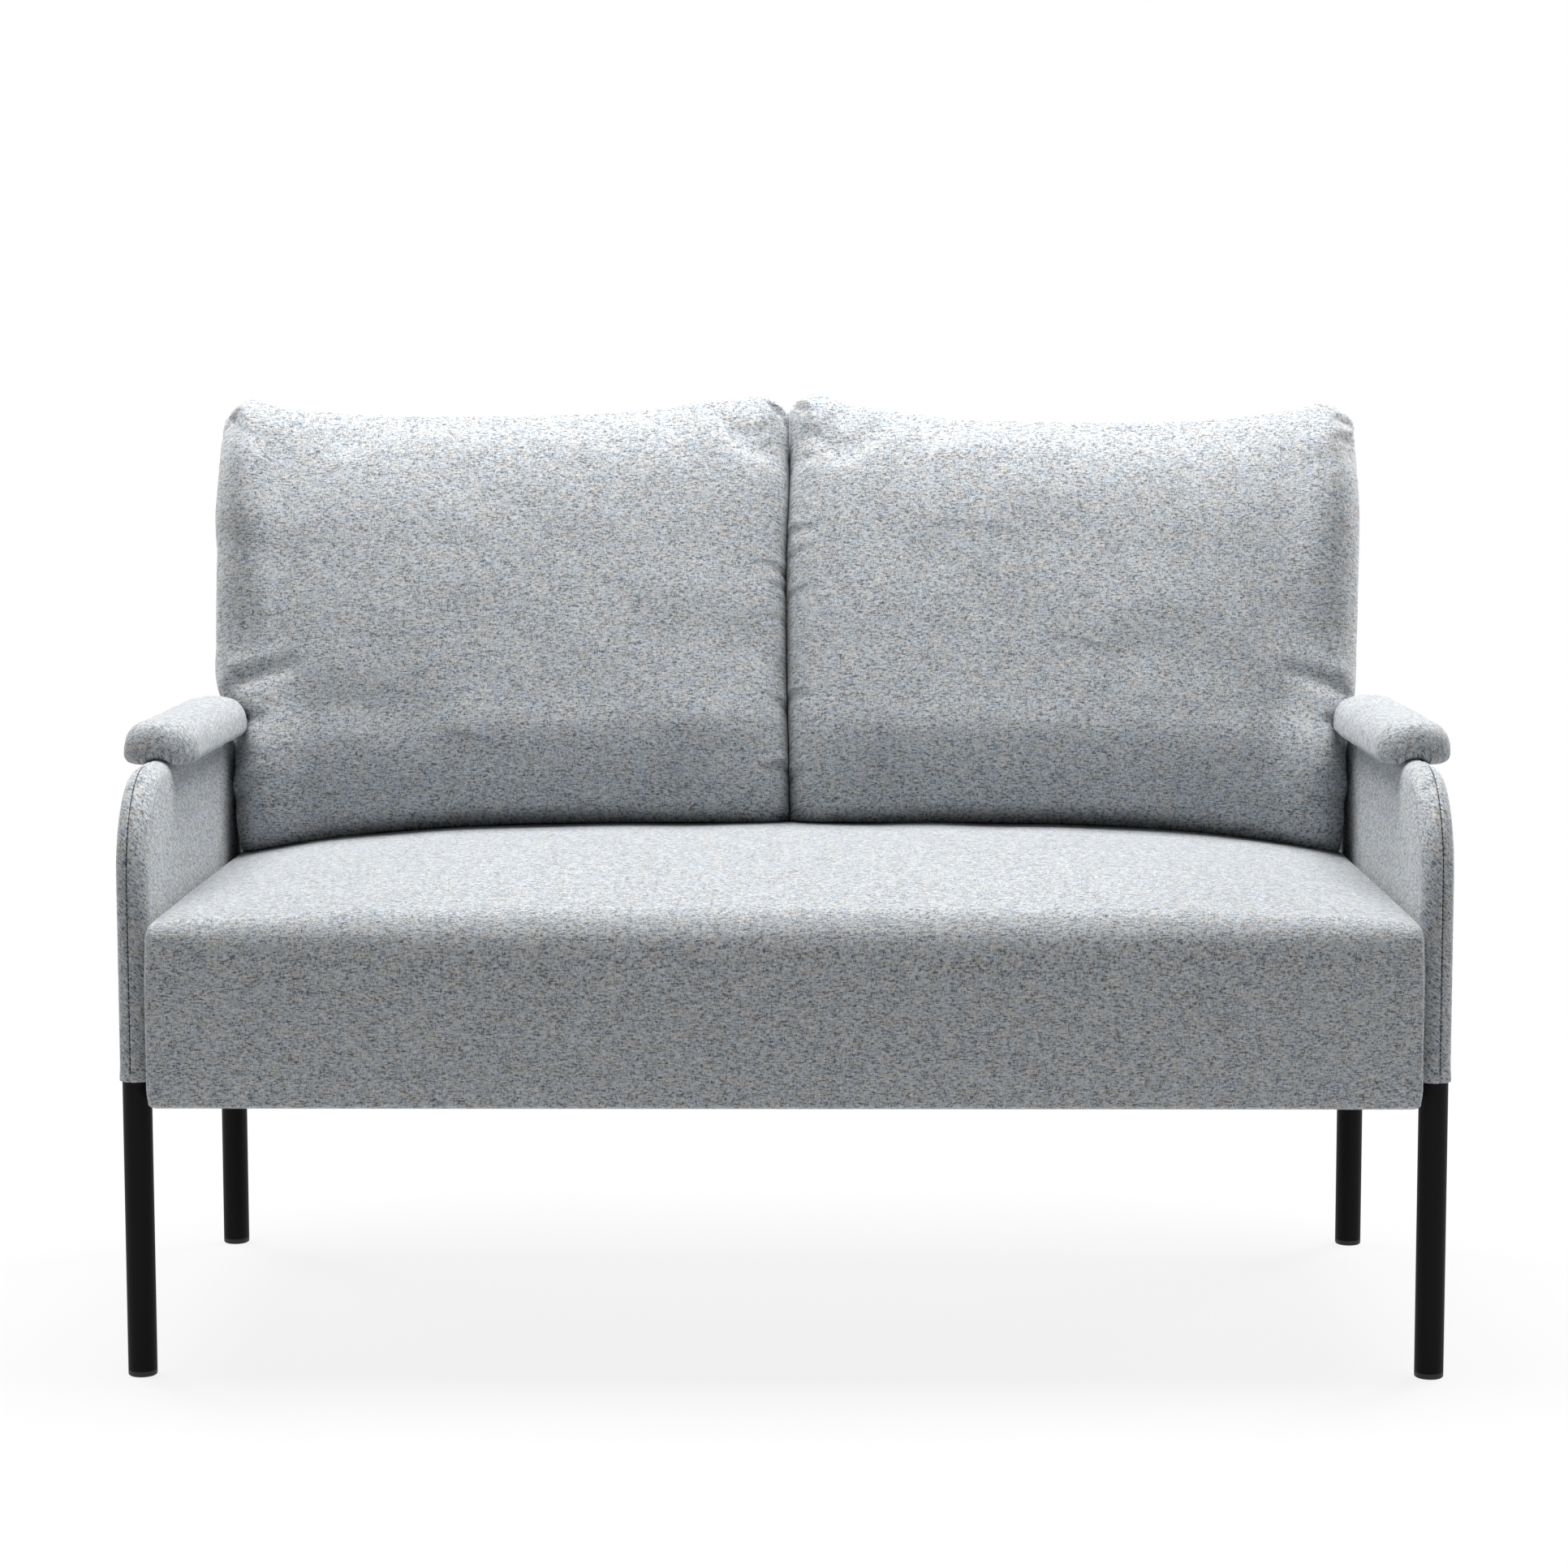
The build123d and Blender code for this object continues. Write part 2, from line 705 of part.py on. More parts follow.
def seat_screws():
    """Coach screws from the beams into the seat's front and rear rails."""
    with BuildPart() as screws:
        for leg_y in (front_leg_y, rear_leg_y):
            wall_y = leg_y - beam_depth / 2 + beam_wall
            length = seat_screw_l if leg_y == front_leg_y else beam_wall + seat_rear_gap + skin + rail_t
            for x in seat_screw_xs():
                head = Plane(origin=(x, wall_y, beam_z), z_dir=(0, 1, 0))
                with BuildSketch(head):
                    RegularPolygon(bolt_head_d / 2, 6)
                extrude(amount=bolt_head_h)
                with BuildSketch(head):
                    Circle(seat_screw_d / 2 - bolt_fit / 2)
                extrude(amount=-length)
    return screws


save(seat_cover(), "seat_cover")
save(front_rail(), "seat_front_rail")
save(rear_rail(), "seat_rear_rail")
save(end_rail(-1), "seat_end_rail_left")
save(end_rail(1), "seat_end_rail_right")
save(inner_rails(), "seat_inner_rails")
save(corner_blocks(), "seat_corner_blocks")
save(seat_webbing(), "seat_webbing")
save(seat_felt(), "seat_felt")
save(seat_foam(), "seat_foam")
save(dust_sheet(), "seat_dust_sheet")
save(seat_screws(), "seat_screws")


# Back rest: timber frame, webbing, foam, cover and the steel uprights that carry it

back_frame_depth = skin + back_foam_t + back_web_t
back_frame_h = back_h - 2 * skin
back_frame_half_w = back_half_w - skin
back_mid_rail_v = back_frame_h * back_mid_rail_share


def back_slab(half_w, low, high, depth, thickness, edge_r):
    """Slab parallel to the back's face, its near side sunk by depth and rounded above and below."""
    with BuildPart() as slab:
        with BuildSketch(face_plane(depth)):
            with Locations((0, (low + high) / 2)):
                Rectangle(2 * half_w, high - low)
        extrude(amount=-thickness)
        outwards = Axis(face_plane().origin, face_plane().z_dir)
        front_edges = slab.edges().filter_by(Axis.X).group_by(outwards)[-1]
        fillet(front_edges, edge_r)
    return slab.part


def back_cover():
    """Closed fabric cover round the whole back panel."""
    with BuildPart() as cover:
        add(back_slab(back_half_w, 0.0, back_h, 0.0, back_t, back_edge_r))
        add(
            back_slab(
                back_half_w - fabric_t,
                fabric_t,
                back_h - fabric_t,
                fabric_t,
                back_t - 2 * fabric_t,
                back_edge_r - fabric_t,
            ),
            mode=Mode.SUBTRACT,
        )
        for x in upright_xs():
            for v in upright_screw_heights():
                with BuildSketch(face_plane(back_t + overrun)):
                    with Locations((x, v)):
                        Circle(upright_screw_d / 2 + soft_clear)
                extrude(amount=overrun + skin, mode=Mode.SUBTRACT)
    return cover


def back_foam():
    with BuildPart() as foam:
        add(back_slab(back_frame_half_w, skin, back_h - skin, skin, back_foam_t, back_edge_r - skin))
    return foam


def upright_screw_heights():
    """How far up the back the uprights are screwed: at the bottom rail and at the middle rail."""
    return (skin + back_rail_w / 2, skin + back_mid_rail_v)


def back_stile(side):
    x = side * (back_frame_half_w - back_stile_w / 2)
    with BuildPart() as stile:
        with BuildSketch(face_plane(back_frame_depth)):
            with Locations((x, skin + back_frame_h / 2)):
                Rectangle(back_stile_w, back_frame_h)
        extrude(amount=-back_timber_t)
    return stile


def back_rail(middle_v, screwed):
    """Cross rail of the back's timber frame between the stiles."""
    half = back_frame_half_w - back_stile_w
    with BuildPart() as rail:
        with BuildSketch(face_plane(back_frame_depth)):
            with Locations((0, middle_v)):
                Rectangle(2 * half, back_rail_w)
            if screwed:
                with Locations(*[(x, middle_v) for x in upright_xs()]):
                    Circle(upright_screw_d / 2, mode=Mode.SUBTRACT)
        extrude(amount=-back_timber_t)
    return rail


def back_webbing():
    """Elastic straps up the front of the back's timber frame, behind the foam."""
    low = skin + back_rail_w / 2
    high = back_h - skin - back_rail_w / 2
    spread = 2 * (back_frame_half_w - back_stile_w) - back_web_w
    pitch = spread / (back_web_count - 1)
    with BuildPart() as straps:
        with BuildSketch(face_plane(back_frame_depth - back_web_t)):
            with Locations((0, (low + high) / 2)):
                with GridLocations(pitch, 0, back_web_count, 1):
                    Rectangle(back_web_w, high - low)
        extrude(amount=-back_web_t)
    return straps


def back_upright(x):
    """Flat steel bar: bolted behind the rear beam, bent to lean up the rear of the back."""
    rear_face = face_plane(back_t)
    foot = rear_face.from_local_coords(Vector(0, 0, 0))
    head = rear_face.from_local_coords(Vector(0, back_h * upright_reach_share, 0))
    near_y = rear_leg_y + beam_depth / 2
    bend_z = foot.Z - (foot.Y - near_y) / tan(lean)
    low_z = beam_z - beam_h / 2
    with BuildPart() as upright:
        with BuildSketch(side_plane(x - upright_w / 2)):
            with BuildLine():
                Polyline(
                    (near_y, low_z),
                    (near_y, bend_z),
                    (head.Y, head.Z),
                    (head.Y + upright_t * cos(lean), head.Z - upright_t * sin(lean)),
                    (near_y + upright_t, bend_z - upright_t * tan(lean / 2)),
                    (near_y + upright_t, low_z),
                    close=True,
                )
            make_face()
        extrude(amount=upright_w)
        fillet(upright.edges().filter_by(Axis.Y).group_by(Axis.Z)[0], upright_corner_r)
        for v in upright_screw_heights():
            with BuildSketch(face_plane(back_t - overrun)):
                with Locations((x, v)):
                    Circle(upright_screw_d / 2 + bolt_hole_clear / 2)
            extrude(amount=-(overrun + 2 * upright_t), mode=Mode.SUBTRACT)
        for up in (-1, 1):
            hole = (x, near_y, beam_z + up * frame_bolt_pitch / 2)
            with Locations(Location(hole, (90, 0, 0))):
                Cylinder(
                    frame_bolt_d / 2 + bolt_hole_clear / 2,
                    2 * upright_t + overrun,
                    mode=Mode.SUBTRACT,
                )
    return upright


def upright_bolts():
    """Button-head bolts that clamp the uprights to the rear beam."""
    outer_y = rear_leg_y + beam_depth / 2 + upright_t
    reach = upright_t + beam_wall + upright_nut_h
    with BuildPart() as bolts:
        for x in upright_xs():
            for up in (-1, 1):
                head = Plane(origin=(x, outer_y, beam_z + up * frame_bolt_pitch / 2), z_dir=(0, 1, 0))
                with BuildSketch(head):
                    Circle(bolt_head_d / 2)
                extrude(amount=bolt_head_h)
                with BuildSketch(head.offset(bolt_head_h)):
                    RegularPolygon(bolt_socket_d / 2, 6)
                extrude(amount=-bolt_socket_depth, mode=Mode.SUBTRACT)
                with BuildSketch(head):
                    Circle(frame_bolt_d / 2)
                extrude(amount=-reach)
    return bolts


def upright_nuts():
    """Hexagon nuts inside the rear beam's rear wall."""
    wall_y = rear_leg_y + beam_depth / 2 - beam_wall
    with BuildPart() as nuts:
        for x in upright_xs():
            for up in (-1, 1):
                seat = Plane(origin=(x, wall_y, beam_z + up * frame_bolt_pitch / 2), z_dir=(0, -1, 0))
                with BuildSketch(seat):
                    RegularPolygon(bolt_head_d / 2, 6)
                    Circle(frame_bolt_d / 2 + bolt_fit / 2, mode=Mode.SUBTRACT)
                extrude(amount=upright_nut_h)
    return nuts


def upright_screws():
    """Wood screws from the uprights into the back's rails."""
    with BuildPart() as screws:
        for x in upright_xs():
            for v in upright_screw_heights():
                with BuildSketch(face_plane(back_t + upright_t)):
                    with Locations((x, v)):
                        Circle(upright_head_d / 2)
                extrude(amount=-upright_head_h)
                with BuildSketch(face_plane(back_t + upright_t)):
                    with Locations((x, v)):
                        Circle(upright_screw_d / 2 - bolt_fit / 2)
                extrude(amount=upright_t + skin + upright_screw_l)
    return screws


save(back_cover(), "back_cover")
save(back_foam(), "back_foam")
save(back_stile(-1), "back_stile_left")
save(back_stile(1), "back_stile_right")
save(back_rail(back_h - skin - back_rail_w / 2, False), "back_top_rail")
save(back_rail(skin + back_mid_rail_v, True), "back_middle_rail")
save(back_rail(skin + back_rail_w / 2, True), "back_bottom_rail")
save(back_webbing(), "back_webbing")
save(back_upright(-upright_span / 2), "back_upright_left")
save(back_upright(upright_span / 2), "back_upright_right")
save(upright_screws(), "upright_screws")
save(upright_bolts(), "upright_bolts")
save(upright_nuts(), "upright_nuts")


# Arm pads: plywood board, foam and cover, screwed up through the arm rail

pad_front_y = front_leg_y + pad_front_setback
pad_rear_y = rear_leg_y - pad_rear_setback
pad_mid_y = (pad_front_y + pad_rear_y) / 2
pad_l = pad_rear_y - pad_front_y
pad_z = arm_rail_z + sleeve_r


def pad_body(x, inset):
    """Flat pad with rounded corners and soft edges, drawn in all round by inset."""
    with BuildPart() as pad:
        with BuildSketch(Plane.XY.offset(pad_z + soft_clear + inset)):
            with Locations((x, pad_mid_y)):
                RectangleRounded(pad_w - 2 * inset, pad_l - 2 * inset, pad_corner_r - inset)
        extrude(amount=pad_t - soft_clear - 2 * inset)
        fillet(pad.edges().group_by(Axis.Z)[0], pad_edge_r - inset)
        fillet(pad.edges().group_by(Axis.Z)[-1], pad_edge_r - inset)
    return pad.part


def pad_cover(side):
    with BuildPart() as cover:
        add(pad_body(side * leg_x, 0.0))
        add(pad_body(side * leg_x, fabric_t), mode=Mode.SUBTRACT)
        for x, y in arm_screw_places(side):
            with Locations((x, y, pad_z)):
                Cylinder(arm_screw_d / 2 + soft_clear, 2 * fabric_t + overrun, mode=Mode.SUBTRACT)
    return cover


def pad_board(side):
    with BuildPart() as board:
        with BuildSketch(Plane.XY.offset(pad_z + soft_clear + skin)):
            with Locations((side * leg_x, pad_mid_y)):
                RectangleRounded(
                    pad_w - 2 * arm_board_inset,
                    pad_l - 2 * arm_board_inset,
                    pad_corner_r - arm_board_inset,
                )
            with Locations(*arm_screw_places(side)):
                Circle(arm_screw_d / 2, mode=Mode.SUBTRACT)
        extrude(amount=arm_board_t)
    return board


def pad_foam(side):
    """Foam that wraps the board's top and edges."""
    x = side * leg_x
    with BuildPart() as foam:
        add(pad_body(x, skin))
        with BuildSketch(Plane.XY.offset(pad_z)):
            with Locations((x, pad_mid_y)):
                RectangleRounded(
                    pad_w - 2 * arm_board_inset + 2 * soft_clear,
                    pad_l - 2 * arm_board_inset + 2 * soft_clear,
                    pad_corner_r - arm_board_inset + soft_clear,
                )
        extrude(amount=skin + 2 * soft_clear + arm_board_t, mode=Mode.SUBTRACT)
    return foam


def arm_screws():
    """Wood screws up through the arm rail into the boards."""
    head_z = arm_rail_z - tube_r
    with BuildPart() as screws:
        for side in (-1, 1):
            for x, y in arm_screw_places(side):
                with BuildSketch(Plane.XY.offset(head_z)):
                    with Locations((x, y)):
                        Circle(arm_screw_head_d / 2)
                extrude(amount=-arm_screw_head_h)
                with BuildSketch(Plane.XY.offset(head_z)):
                    with Locations((x, y)):
                        Circle(arm_screw_d / 2 - bolt_fit / 2)
                extrude(amount=arm_screw_l)
    return screws


for side, side_name in sides:
    save(pad_cover(side), "arm_pad_cover_" + side_name)
    save(pad_foam(side), "arm_pad_foam_" + side_name)
    save(pad_board(side), "arm_pad_board_" + side_name)
save(arm_screws(), "arm_pad_screws")


# Loose back cushions

def cushion_profile(plane, number, inset):
    """Side view of a cushion at one station: flat rear, round head, full belly, soft foot."""
    rear = cushion_back_gap + inset
    thick = cushion_t * cushion_thick_shares[number] - 2 * inset
    low = cushion_foot_rise - cushion_corner_drop * cushion_drop_shares[number] + inset
    high = cushion_h + cushion_corner_lift * cushion_lift_shares[number] - inset
    crest = rear + thick * cushion_crest_share
    head = (high - thick * cushion_head_round_share, rear + thick * cushion_head_share)
    foot = (low + thick * cushion_foot_round_share, rear + thick * cushion_foot_share)
    head_rear = (high - thick * cushion_rear_round_share, rear)
    foot_rear = (low + thick * cushion_rear_round_share, rear)
    belly = (low + (high - low) * cushion_belly_share, rear + thick)
    with BuildSketch(plane) as profile:
        with BuildLine():
            Line(foot_rear, head_rear)
            ThreePointArc(head_rear, (high, crest), head)
            ThreePointArc(head, belly, foot)
            ThreePointArc(foot, (low, crest), foot_rear)
        make_face()
    return profile.sketch


def cushion_body(side, inset):
    """Pillow lofted from the middle of the sofa out to its arm, drawn in all round by inset."""
    start = cushion_gap / 2 + inset
    width = cushion_foot_w - 2 * inset
    with BuildPart() as body:
        for number, share in enumerate(cushion_station_shares):
            x = side * (start + width * share)
            plane = back_plane(x, side * cushion_flare * share)
            add(cushion_profile(plane, number, inset))
        loft()
    return body.part


for side, side_name in sides:
    outside = cushion_body(side, 0.0)
    with BuildPart() as cushion_cover:
        add(outside)
        add(cushion_body(side, fabric_t), mode=Mode.SUBTRACT)
    save(cushion_cover, "cushion_cover_" + side_name)
    with BuildPart() as cushion_filling:
        add(cushion_body(side, skin + soft_clear))
    save(cushion_filling, "cushion_filling_" + side_name)
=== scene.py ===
import json
import math
import bmesh
import bpy
import numpy as np
from mathutils import Matrix, Vector


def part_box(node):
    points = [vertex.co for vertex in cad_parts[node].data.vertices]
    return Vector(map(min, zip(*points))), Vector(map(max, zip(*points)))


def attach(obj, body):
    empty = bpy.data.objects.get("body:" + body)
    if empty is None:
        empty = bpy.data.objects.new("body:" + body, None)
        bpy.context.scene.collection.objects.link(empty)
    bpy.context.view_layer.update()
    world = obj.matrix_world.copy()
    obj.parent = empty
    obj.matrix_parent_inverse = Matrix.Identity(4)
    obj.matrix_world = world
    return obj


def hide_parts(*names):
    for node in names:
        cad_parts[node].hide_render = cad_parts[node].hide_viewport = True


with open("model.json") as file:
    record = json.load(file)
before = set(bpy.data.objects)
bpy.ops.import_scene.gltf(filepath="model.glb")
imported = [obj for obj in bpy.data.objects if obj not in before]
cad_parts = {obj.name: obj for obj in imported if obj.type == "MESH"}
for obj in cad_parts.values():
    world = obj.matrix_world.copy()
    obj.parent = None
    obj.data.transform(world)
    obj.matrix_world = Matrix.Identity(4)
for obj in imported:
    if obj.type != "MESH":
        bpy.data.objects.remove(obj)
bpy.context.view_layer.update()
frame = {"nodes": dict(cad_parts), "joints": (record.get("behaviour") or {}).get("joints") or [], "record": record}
sides = (("left", -1), ("right", 1))


# places read from the frame
def middleOf(node):
    low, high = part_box(node)
    return (low + high) / 2


frontLeg = middleOf("glide_front_right")
rearLeg = middleOf("glide_rear_right")
legX = frontLeg.x
legMidY = (frontLeg.y + rearLeg.y) / 2
leanSin, leanCos = frame["joints"][0]["axis"][1:]  # the back leans along the cushions' joint


# small tools for whole arrays
def smooth(t):
    # three t squared less two t cubed, held between 0 and 1
    t = np.clip(t, 0.0, 1.0)
    return t * t * (3 - 2 * t)


def bell(distance, width):
    return np.exp(-(distance / width) ** 2)


def ease(share, places, values):
    # piecewise smooth curve through values at places, flat-tangent where it turns
    slopes = np.gradient(values, places)
    number = np.clip(np.searchsorted(places, share) - 1, 0, len(places) - 2)
    places, values = np.asarray(places), np.asarray(values)
    span = places[number + 1] - places[number]
    t = (share - places[number]) / span
    low, high = values[number], values[number + 1]
    first, second = slopes[number] * span, slopes[number + 1] * span
    return ((2 * t**3 - 3 * t**2 + 1) * low + (t**3 - 2 * t**2 + t) * first
            + (3 * t**2 - 2 * t**3) * high + (t**3 - t**2) * second)


def ripple(points, scale, seed, waves=14):
    # sum of plane sine waves in random directions, about one unit high
    dice = np.random.default_rng(seed)
    ways = dice.normal(size=(waves, points.shape[-1]))
    ways = ways / np.linalg.norm(ways, axis=1, keepdims=True) * dice.uniform(0.6, 1.5, (waves, 1))
    phases = dice.uniform(0, 2 * np.pi, waves)
    return np.sin(points @ (ways.T * 2 * np.pi / scale) + phases).sum(-1) / math.sqrt(waves / 2) / 2


def makeMesh(name, points, quads, uvs=None):
    # uvs holds one pair for each corner of each quad, in metres of cloth
    mesh = bpy.data.meshes.new(name)
    mesh.from_pydata(points.reshape(-1, 3).tolist(), [], quads.tolist())
    if uvs is not None:
        layer = mesh.uv_layers.new(name="cloth")
        layer.data.foreach_set("uv", uvs.reshape(-1).astype(np.float32))
    mesh.polygons.foreach_set("use_smooth", np.ones(len(mesh.polygons), dtype=bool))
    mesh.update()
    piece = bpy.data.objects.new(name, mesh)
    bpy.context.scene.collection.objects.link(piece)
    return piece


def gridQuads(rows, columns, start=0, closed=False, flip=False):
    # vertex numbers of the quads of a rows by columns grid
    columnEnd = columns if closed else columns - 1
    row, column = np.meshgrid(np.arange(rows - 1), np.arange(columnEnd), indexing="ij")
    beside = (column + 1) % columns
    quads = np.stack([row * columns + column, row * columns + beside,
                      (row + 1) * columns + beside, (row + 1) * columns + column], -1).reshape(-1, 4)
    return (quads[:, ::-1] if flip else quads) + start


def pointsOf(piece, kind="co"):
    values = np.empty(len(piece.data.vertices) * 3, np.float32)
    piece.data.vertices.foreach_get(kind, values)
    return values.reshape(-1, 3).astype(float)


def setPoints(piece, points):
    piece.data.vertices.foreach_set("co", points.astype(np.float32).reshape(-1))
    piece.data.update()


def applyModifiers(piece):
    depsgraph = bpy.context.evaluated_depsgraph_get()
    mesh = bpy.data.meshes.new_from_object(piece.evaluated_get(depsgraph))
    old = piece.data
    piece.modifiers.clear()
    piece.data = mesh
    bpy.data.meshes.remove(old)


def subdivide(piece, levels=1):
    step = piece.modifiers.new("Subdivision", "SUBSURF")
    step.levels = step.render_levels = levels
    step.uv_smooth = "PRESERVE_BOUNDARIES"
    applyModifiers(piece)


def thicken(piece, thickness, offset):
    step = piece.modifiers.new("Cloth", "SOLIDIFY")
    step.thickness, step.offset = thickness, offset
    applyModifiers(piece)


def joinDoubles(piece, gap=1e-5):
    step = piece.modifiers.new("Weld", "WELD")
    step.merge_threshold = gap
    applyModifiers(piece)


def recalc(piece):
    work = bmesh.new()
    work.from_mesh(piece.data)
    bmesh.ops.recalc_face_normals(work, faces=work.faces)
    work.to_mesh(piece.data)
    work.free()


def closeEnds(piece):
    work = bmesh.new()
    work.from_mesh(piece.data)
    bmesh.ops.holes_fill(work, edges=[edge for edge in work.edges if edge.is_boundary], sides=0)
    bmesh.ops.triangulate(work, faces=[face for face in work.faces if len(face.verts) > 4])
    work.to_mesh(piece.data)
    work.free()
    piece.data.polygons.foreach_set("use_smooth", np.ones(len(piece.data.polygons), dtype=bool))


# finishes: every texture reads the piece's own cloth map or its Object coordinates, in metres
def newMaterial(name):
    material = bpy.data.materials.new(name)
    material.use_nodes = True
    tree = material.node_tree
    shader = tree.nodes["Principled BSDF"]
    return material, tree, shader


def addNode(tree, kind, values=None, links=None, **settings):
    node = tree.nodes.new(kind)
    for key, value in settings.items():
        setattr(node, key, value)
    for key, value in (values or {}).items():
        node.inputs[key].default_value = value
    for key, source in (links or {}).items():
        tree.links.new(source, node.inputs[key])
    return node


def stretched(tree, source, scale):
    return addNode(tree, "ShaderNodeMapping", {"Scale": scale}, {"Vector": source}).outputs[0]


def noise(tree, vector, detail=2.0, rough=0.6):
    return addNode(tree, "ShaderNodeTexNoise", {"Scale": 1.0, "Detail": detail, "Roughness": rough},
                   {"Vector": vector}).outputs["Fac"]


def sharpened(tree, source, low, high, toLow=0.0, toHigh=1.0):
    ends = {"From Min": low, "From Max": high, "To Min": toLow, "To Max": toHigh}
    return addNode(tree, "ShaderNodeMapRange", ends, {"Value": source}, clamp=True).outputs[0]


def combine(tree, operation, first, second):
    node = tree.nodes.new("ShaderNodeMath")
    node.operation = operation
    for number, part in enumerate((first, second)):
        if isinstance(part, (int, float)):
            node.inputs[number].default_value = part
        else:
            tree.links.new(part, node.inputs[number])
    return node.outputs[0]


def seenBy(tree, *kinds):
    # one for camera rays and for the kinds of mirrored ray named
    rays = tree.nodes.new("ShaderNodeLightPath")
    seen = rays.outputs["Is Camera Ray"]
    for kind in kinds:
        seen = combine(tree, "MAXIMUM", seen, rays.outputs[kind])
    return seen


def mixShaders(tree, share, first, second, target):
    mix = tree.nodes.new("ShaderNodeMixShader")
    for number, source in enumerate((share, first.outputs[0], second.outputs[0])):
        tree.links.new(source, mix.inputs[number])
    tree.links.new(mix.outputs[0], tree.nodes[target].inputs["Surface"])


def bump(tree, shader, height, distance, strength):
    node = addNode(tree, "ShaderNodeBump", {"Strength": strength, "Distance": distance}, {"Height": height})
    tree.links.new(node.outputs[0], shader.inputs["Normal"])


# grey melange cloth: dark and light dashes along weft and warp, lengths in metres
melange = {
    "dark": (0.120, 0.131, 0.146, 1), "middle": (0.448, 0.468, 0.492, 1), "light": (0.690, 0.708, 0.726, 1),
    "warm": (1.055, 1.000, 0.935, 1), "cool": (0.945, 1.000, 1.055, 1),
    "low": 0.370, "mid": 0.492, "high": 0.632, "weftShare": 0.58, "warpShare": 0.42,
    "pitch": 0.00110, "weftDash": 0.0050, "warpDash": 0.0032, "tintDash": 0.0040, "patch": 0.020,
    "roughness": 0.92, "sheen": 0.35, "specular": 0.2, "bumpDepth": 0.00025, "bumpStrength": 0.7,
}


def threads(tree, along, aside, dash, seed, detail=1.5):
    # noise that runs smoothly along a thread and starts anew on the next one
    place = addNode(tree, "ShaderNodeCombineXYZ", {2: seed},
                    {0: combine(tree, "DIVIDE", along, dash), 1: combine(tree, "MULTIPLY", aside, 7.31)})
    return noise(tree, place.outputs[0], detail, 0.65)


def melangeCloth():
    material, tree, shader = newMaterial("greyMelange")
    m = melange
    cloth = tree.nodes.new("ShaderNodeUVMap").outputs[0]
    u, v = addNode(tree, "ShaderNodeSeparateXYZ", links={0: cloth}).outputs[:2]
    column, row = (combine(tree, "FLOOR", combine(tree, "DIVIDE", part, m["pitch"]), 0) for part in (u, v))
    weft = threads(tree, u, row, m["weftDash"], 1.7)
    warp = threads(tree, v, column, m["warpDash"], 9.2)
    yarn = combine(tree, "ADD", combine(tree, "MULTIPLY", weft, m["weftShare"]),
                   combine(tree, "MULTIPLY", warp, m["warpShare"]))
    shade = tree.nodes.new("ShaderNodeValToRGB")
    stops = shade.color_ramp.elements
    stops[0].position, stops[0].color = m["low"], m["dark"]
    stops[1].position, stops[1].color = m["high"], m["light"]
    middle = stops.new(m["mid"])
    middle.color = m["middle"]
    tree.links.new(yarn, shade.inputs[0])
    # tint: thread by thread both ways, with soft patches
    hues = [threads(tree, u, row, m["tintDash"], 21.3, 1.0),
            threads(tree, v, column, m["tintDash"], 33.8, 1.0),
            noise(tree, stretched(tree, cloth, (1 / m["patch"], 1.6 / m["patch"], 1)), 1.0)]
    hue = combine(tree, "ADD", combine(tree, "ADD", hues[0], hues[1]), hues[2])
    tint = addNode(tree, "ShaderNodeMix", links={"Factor": sharpened(tree, hue, 1.28, 1.72)}, data_type="RGBA")
    mixed = addNode(tree, "ShaderNodeMix", {"Factor": 1.0}, data_type="RGBA", blend_type="MULTIPLY")
    tintSockets = [socket for socket in tint.inputs if socket.type == "RGBA"]
    tintSockets[0].default_value, tintSockets[1].default_value = m["warm"], m["cool"]
    mixedSockets = [socket for socket in mixed.inputs if socket.type == "RGBA"]
    outs = [[socket for socket in node.outputs if socket.type == "RGBA"][0] for node in (tint, mixed)]
    tree.links.new(shade.outputs[0], mixedSockets[0])
    tree.links.new(outs[0], mixedSockets[1])
    tree.links.new(outs[1], shader.inputs["Base Color"])
    # relief: round threads crossing, and the thicker dashes standing out
    turns = 2 * math.pi / m["pitch"] / 20
    waves = [addNode(tree, "ShaderNodeTexWave", {"Scale": turns, "Distortion": 0.4, "Detail": 1.0},
                     {"Vector": cloth}, bands_direction=way) for way in ("X", "Y")]
    across, along = (node.outputs["Fac"] for node in waves)
    weave = combine(tree, "ADD", combine(tree, "MULTIPLY", across, along), combine(tree, "MULTIPLY", yarn, 1.2))
    bump(tree, shader, weave, m["bumpDepth"], m["bumpStrength"])
    shader.inputs["Roughness"].default_value = m["roughness"]
    shader.inputs["Sheen Weight"].default_value = m["sheen"]
    shader.inputs["Specular IOR Level"].default_value = m["specular"]
    return material


def grainy(name, dark, light, scales, roughness, metallic, depth, specular=0.4):
    # two colours mixed by noise on Object coordinates, with the same noise as a shallow bump
    material, tree, shader = newMaterial(name)
    place = tree.nodes.new("ShaderNodeTexCoord").outputs["Object"]
    grain = noise(tree, stretched(tree, place, scales), 4.0)
    shade = tree.nodes.new("ShaderNodeValToRGB")
    stops = shade.color_ramp.elements
    stops[0].position, stops[0].color = 0.35, (*dark, 1)
    stops[1].position, stops[1].color = 0.65, (*light, 1)
    tree.links.new(grain, shade.inputs[0])
    tree.links.new(shade.outputs[0], shader.inputs["Base Color"])
    rough = sharpened(tree, grain, 0.3, 0.7, roughness - 0.05, roughness + 0.05)
    tree.links.new(rough, shader.inputs["Roughness"])
    shader.inputs["Metallic"].default_value = metallic
    shader.inputs["Specular IOR Level"].default_value = specular
    bump(tree, shader, grain, depth, 0.6)
    return material


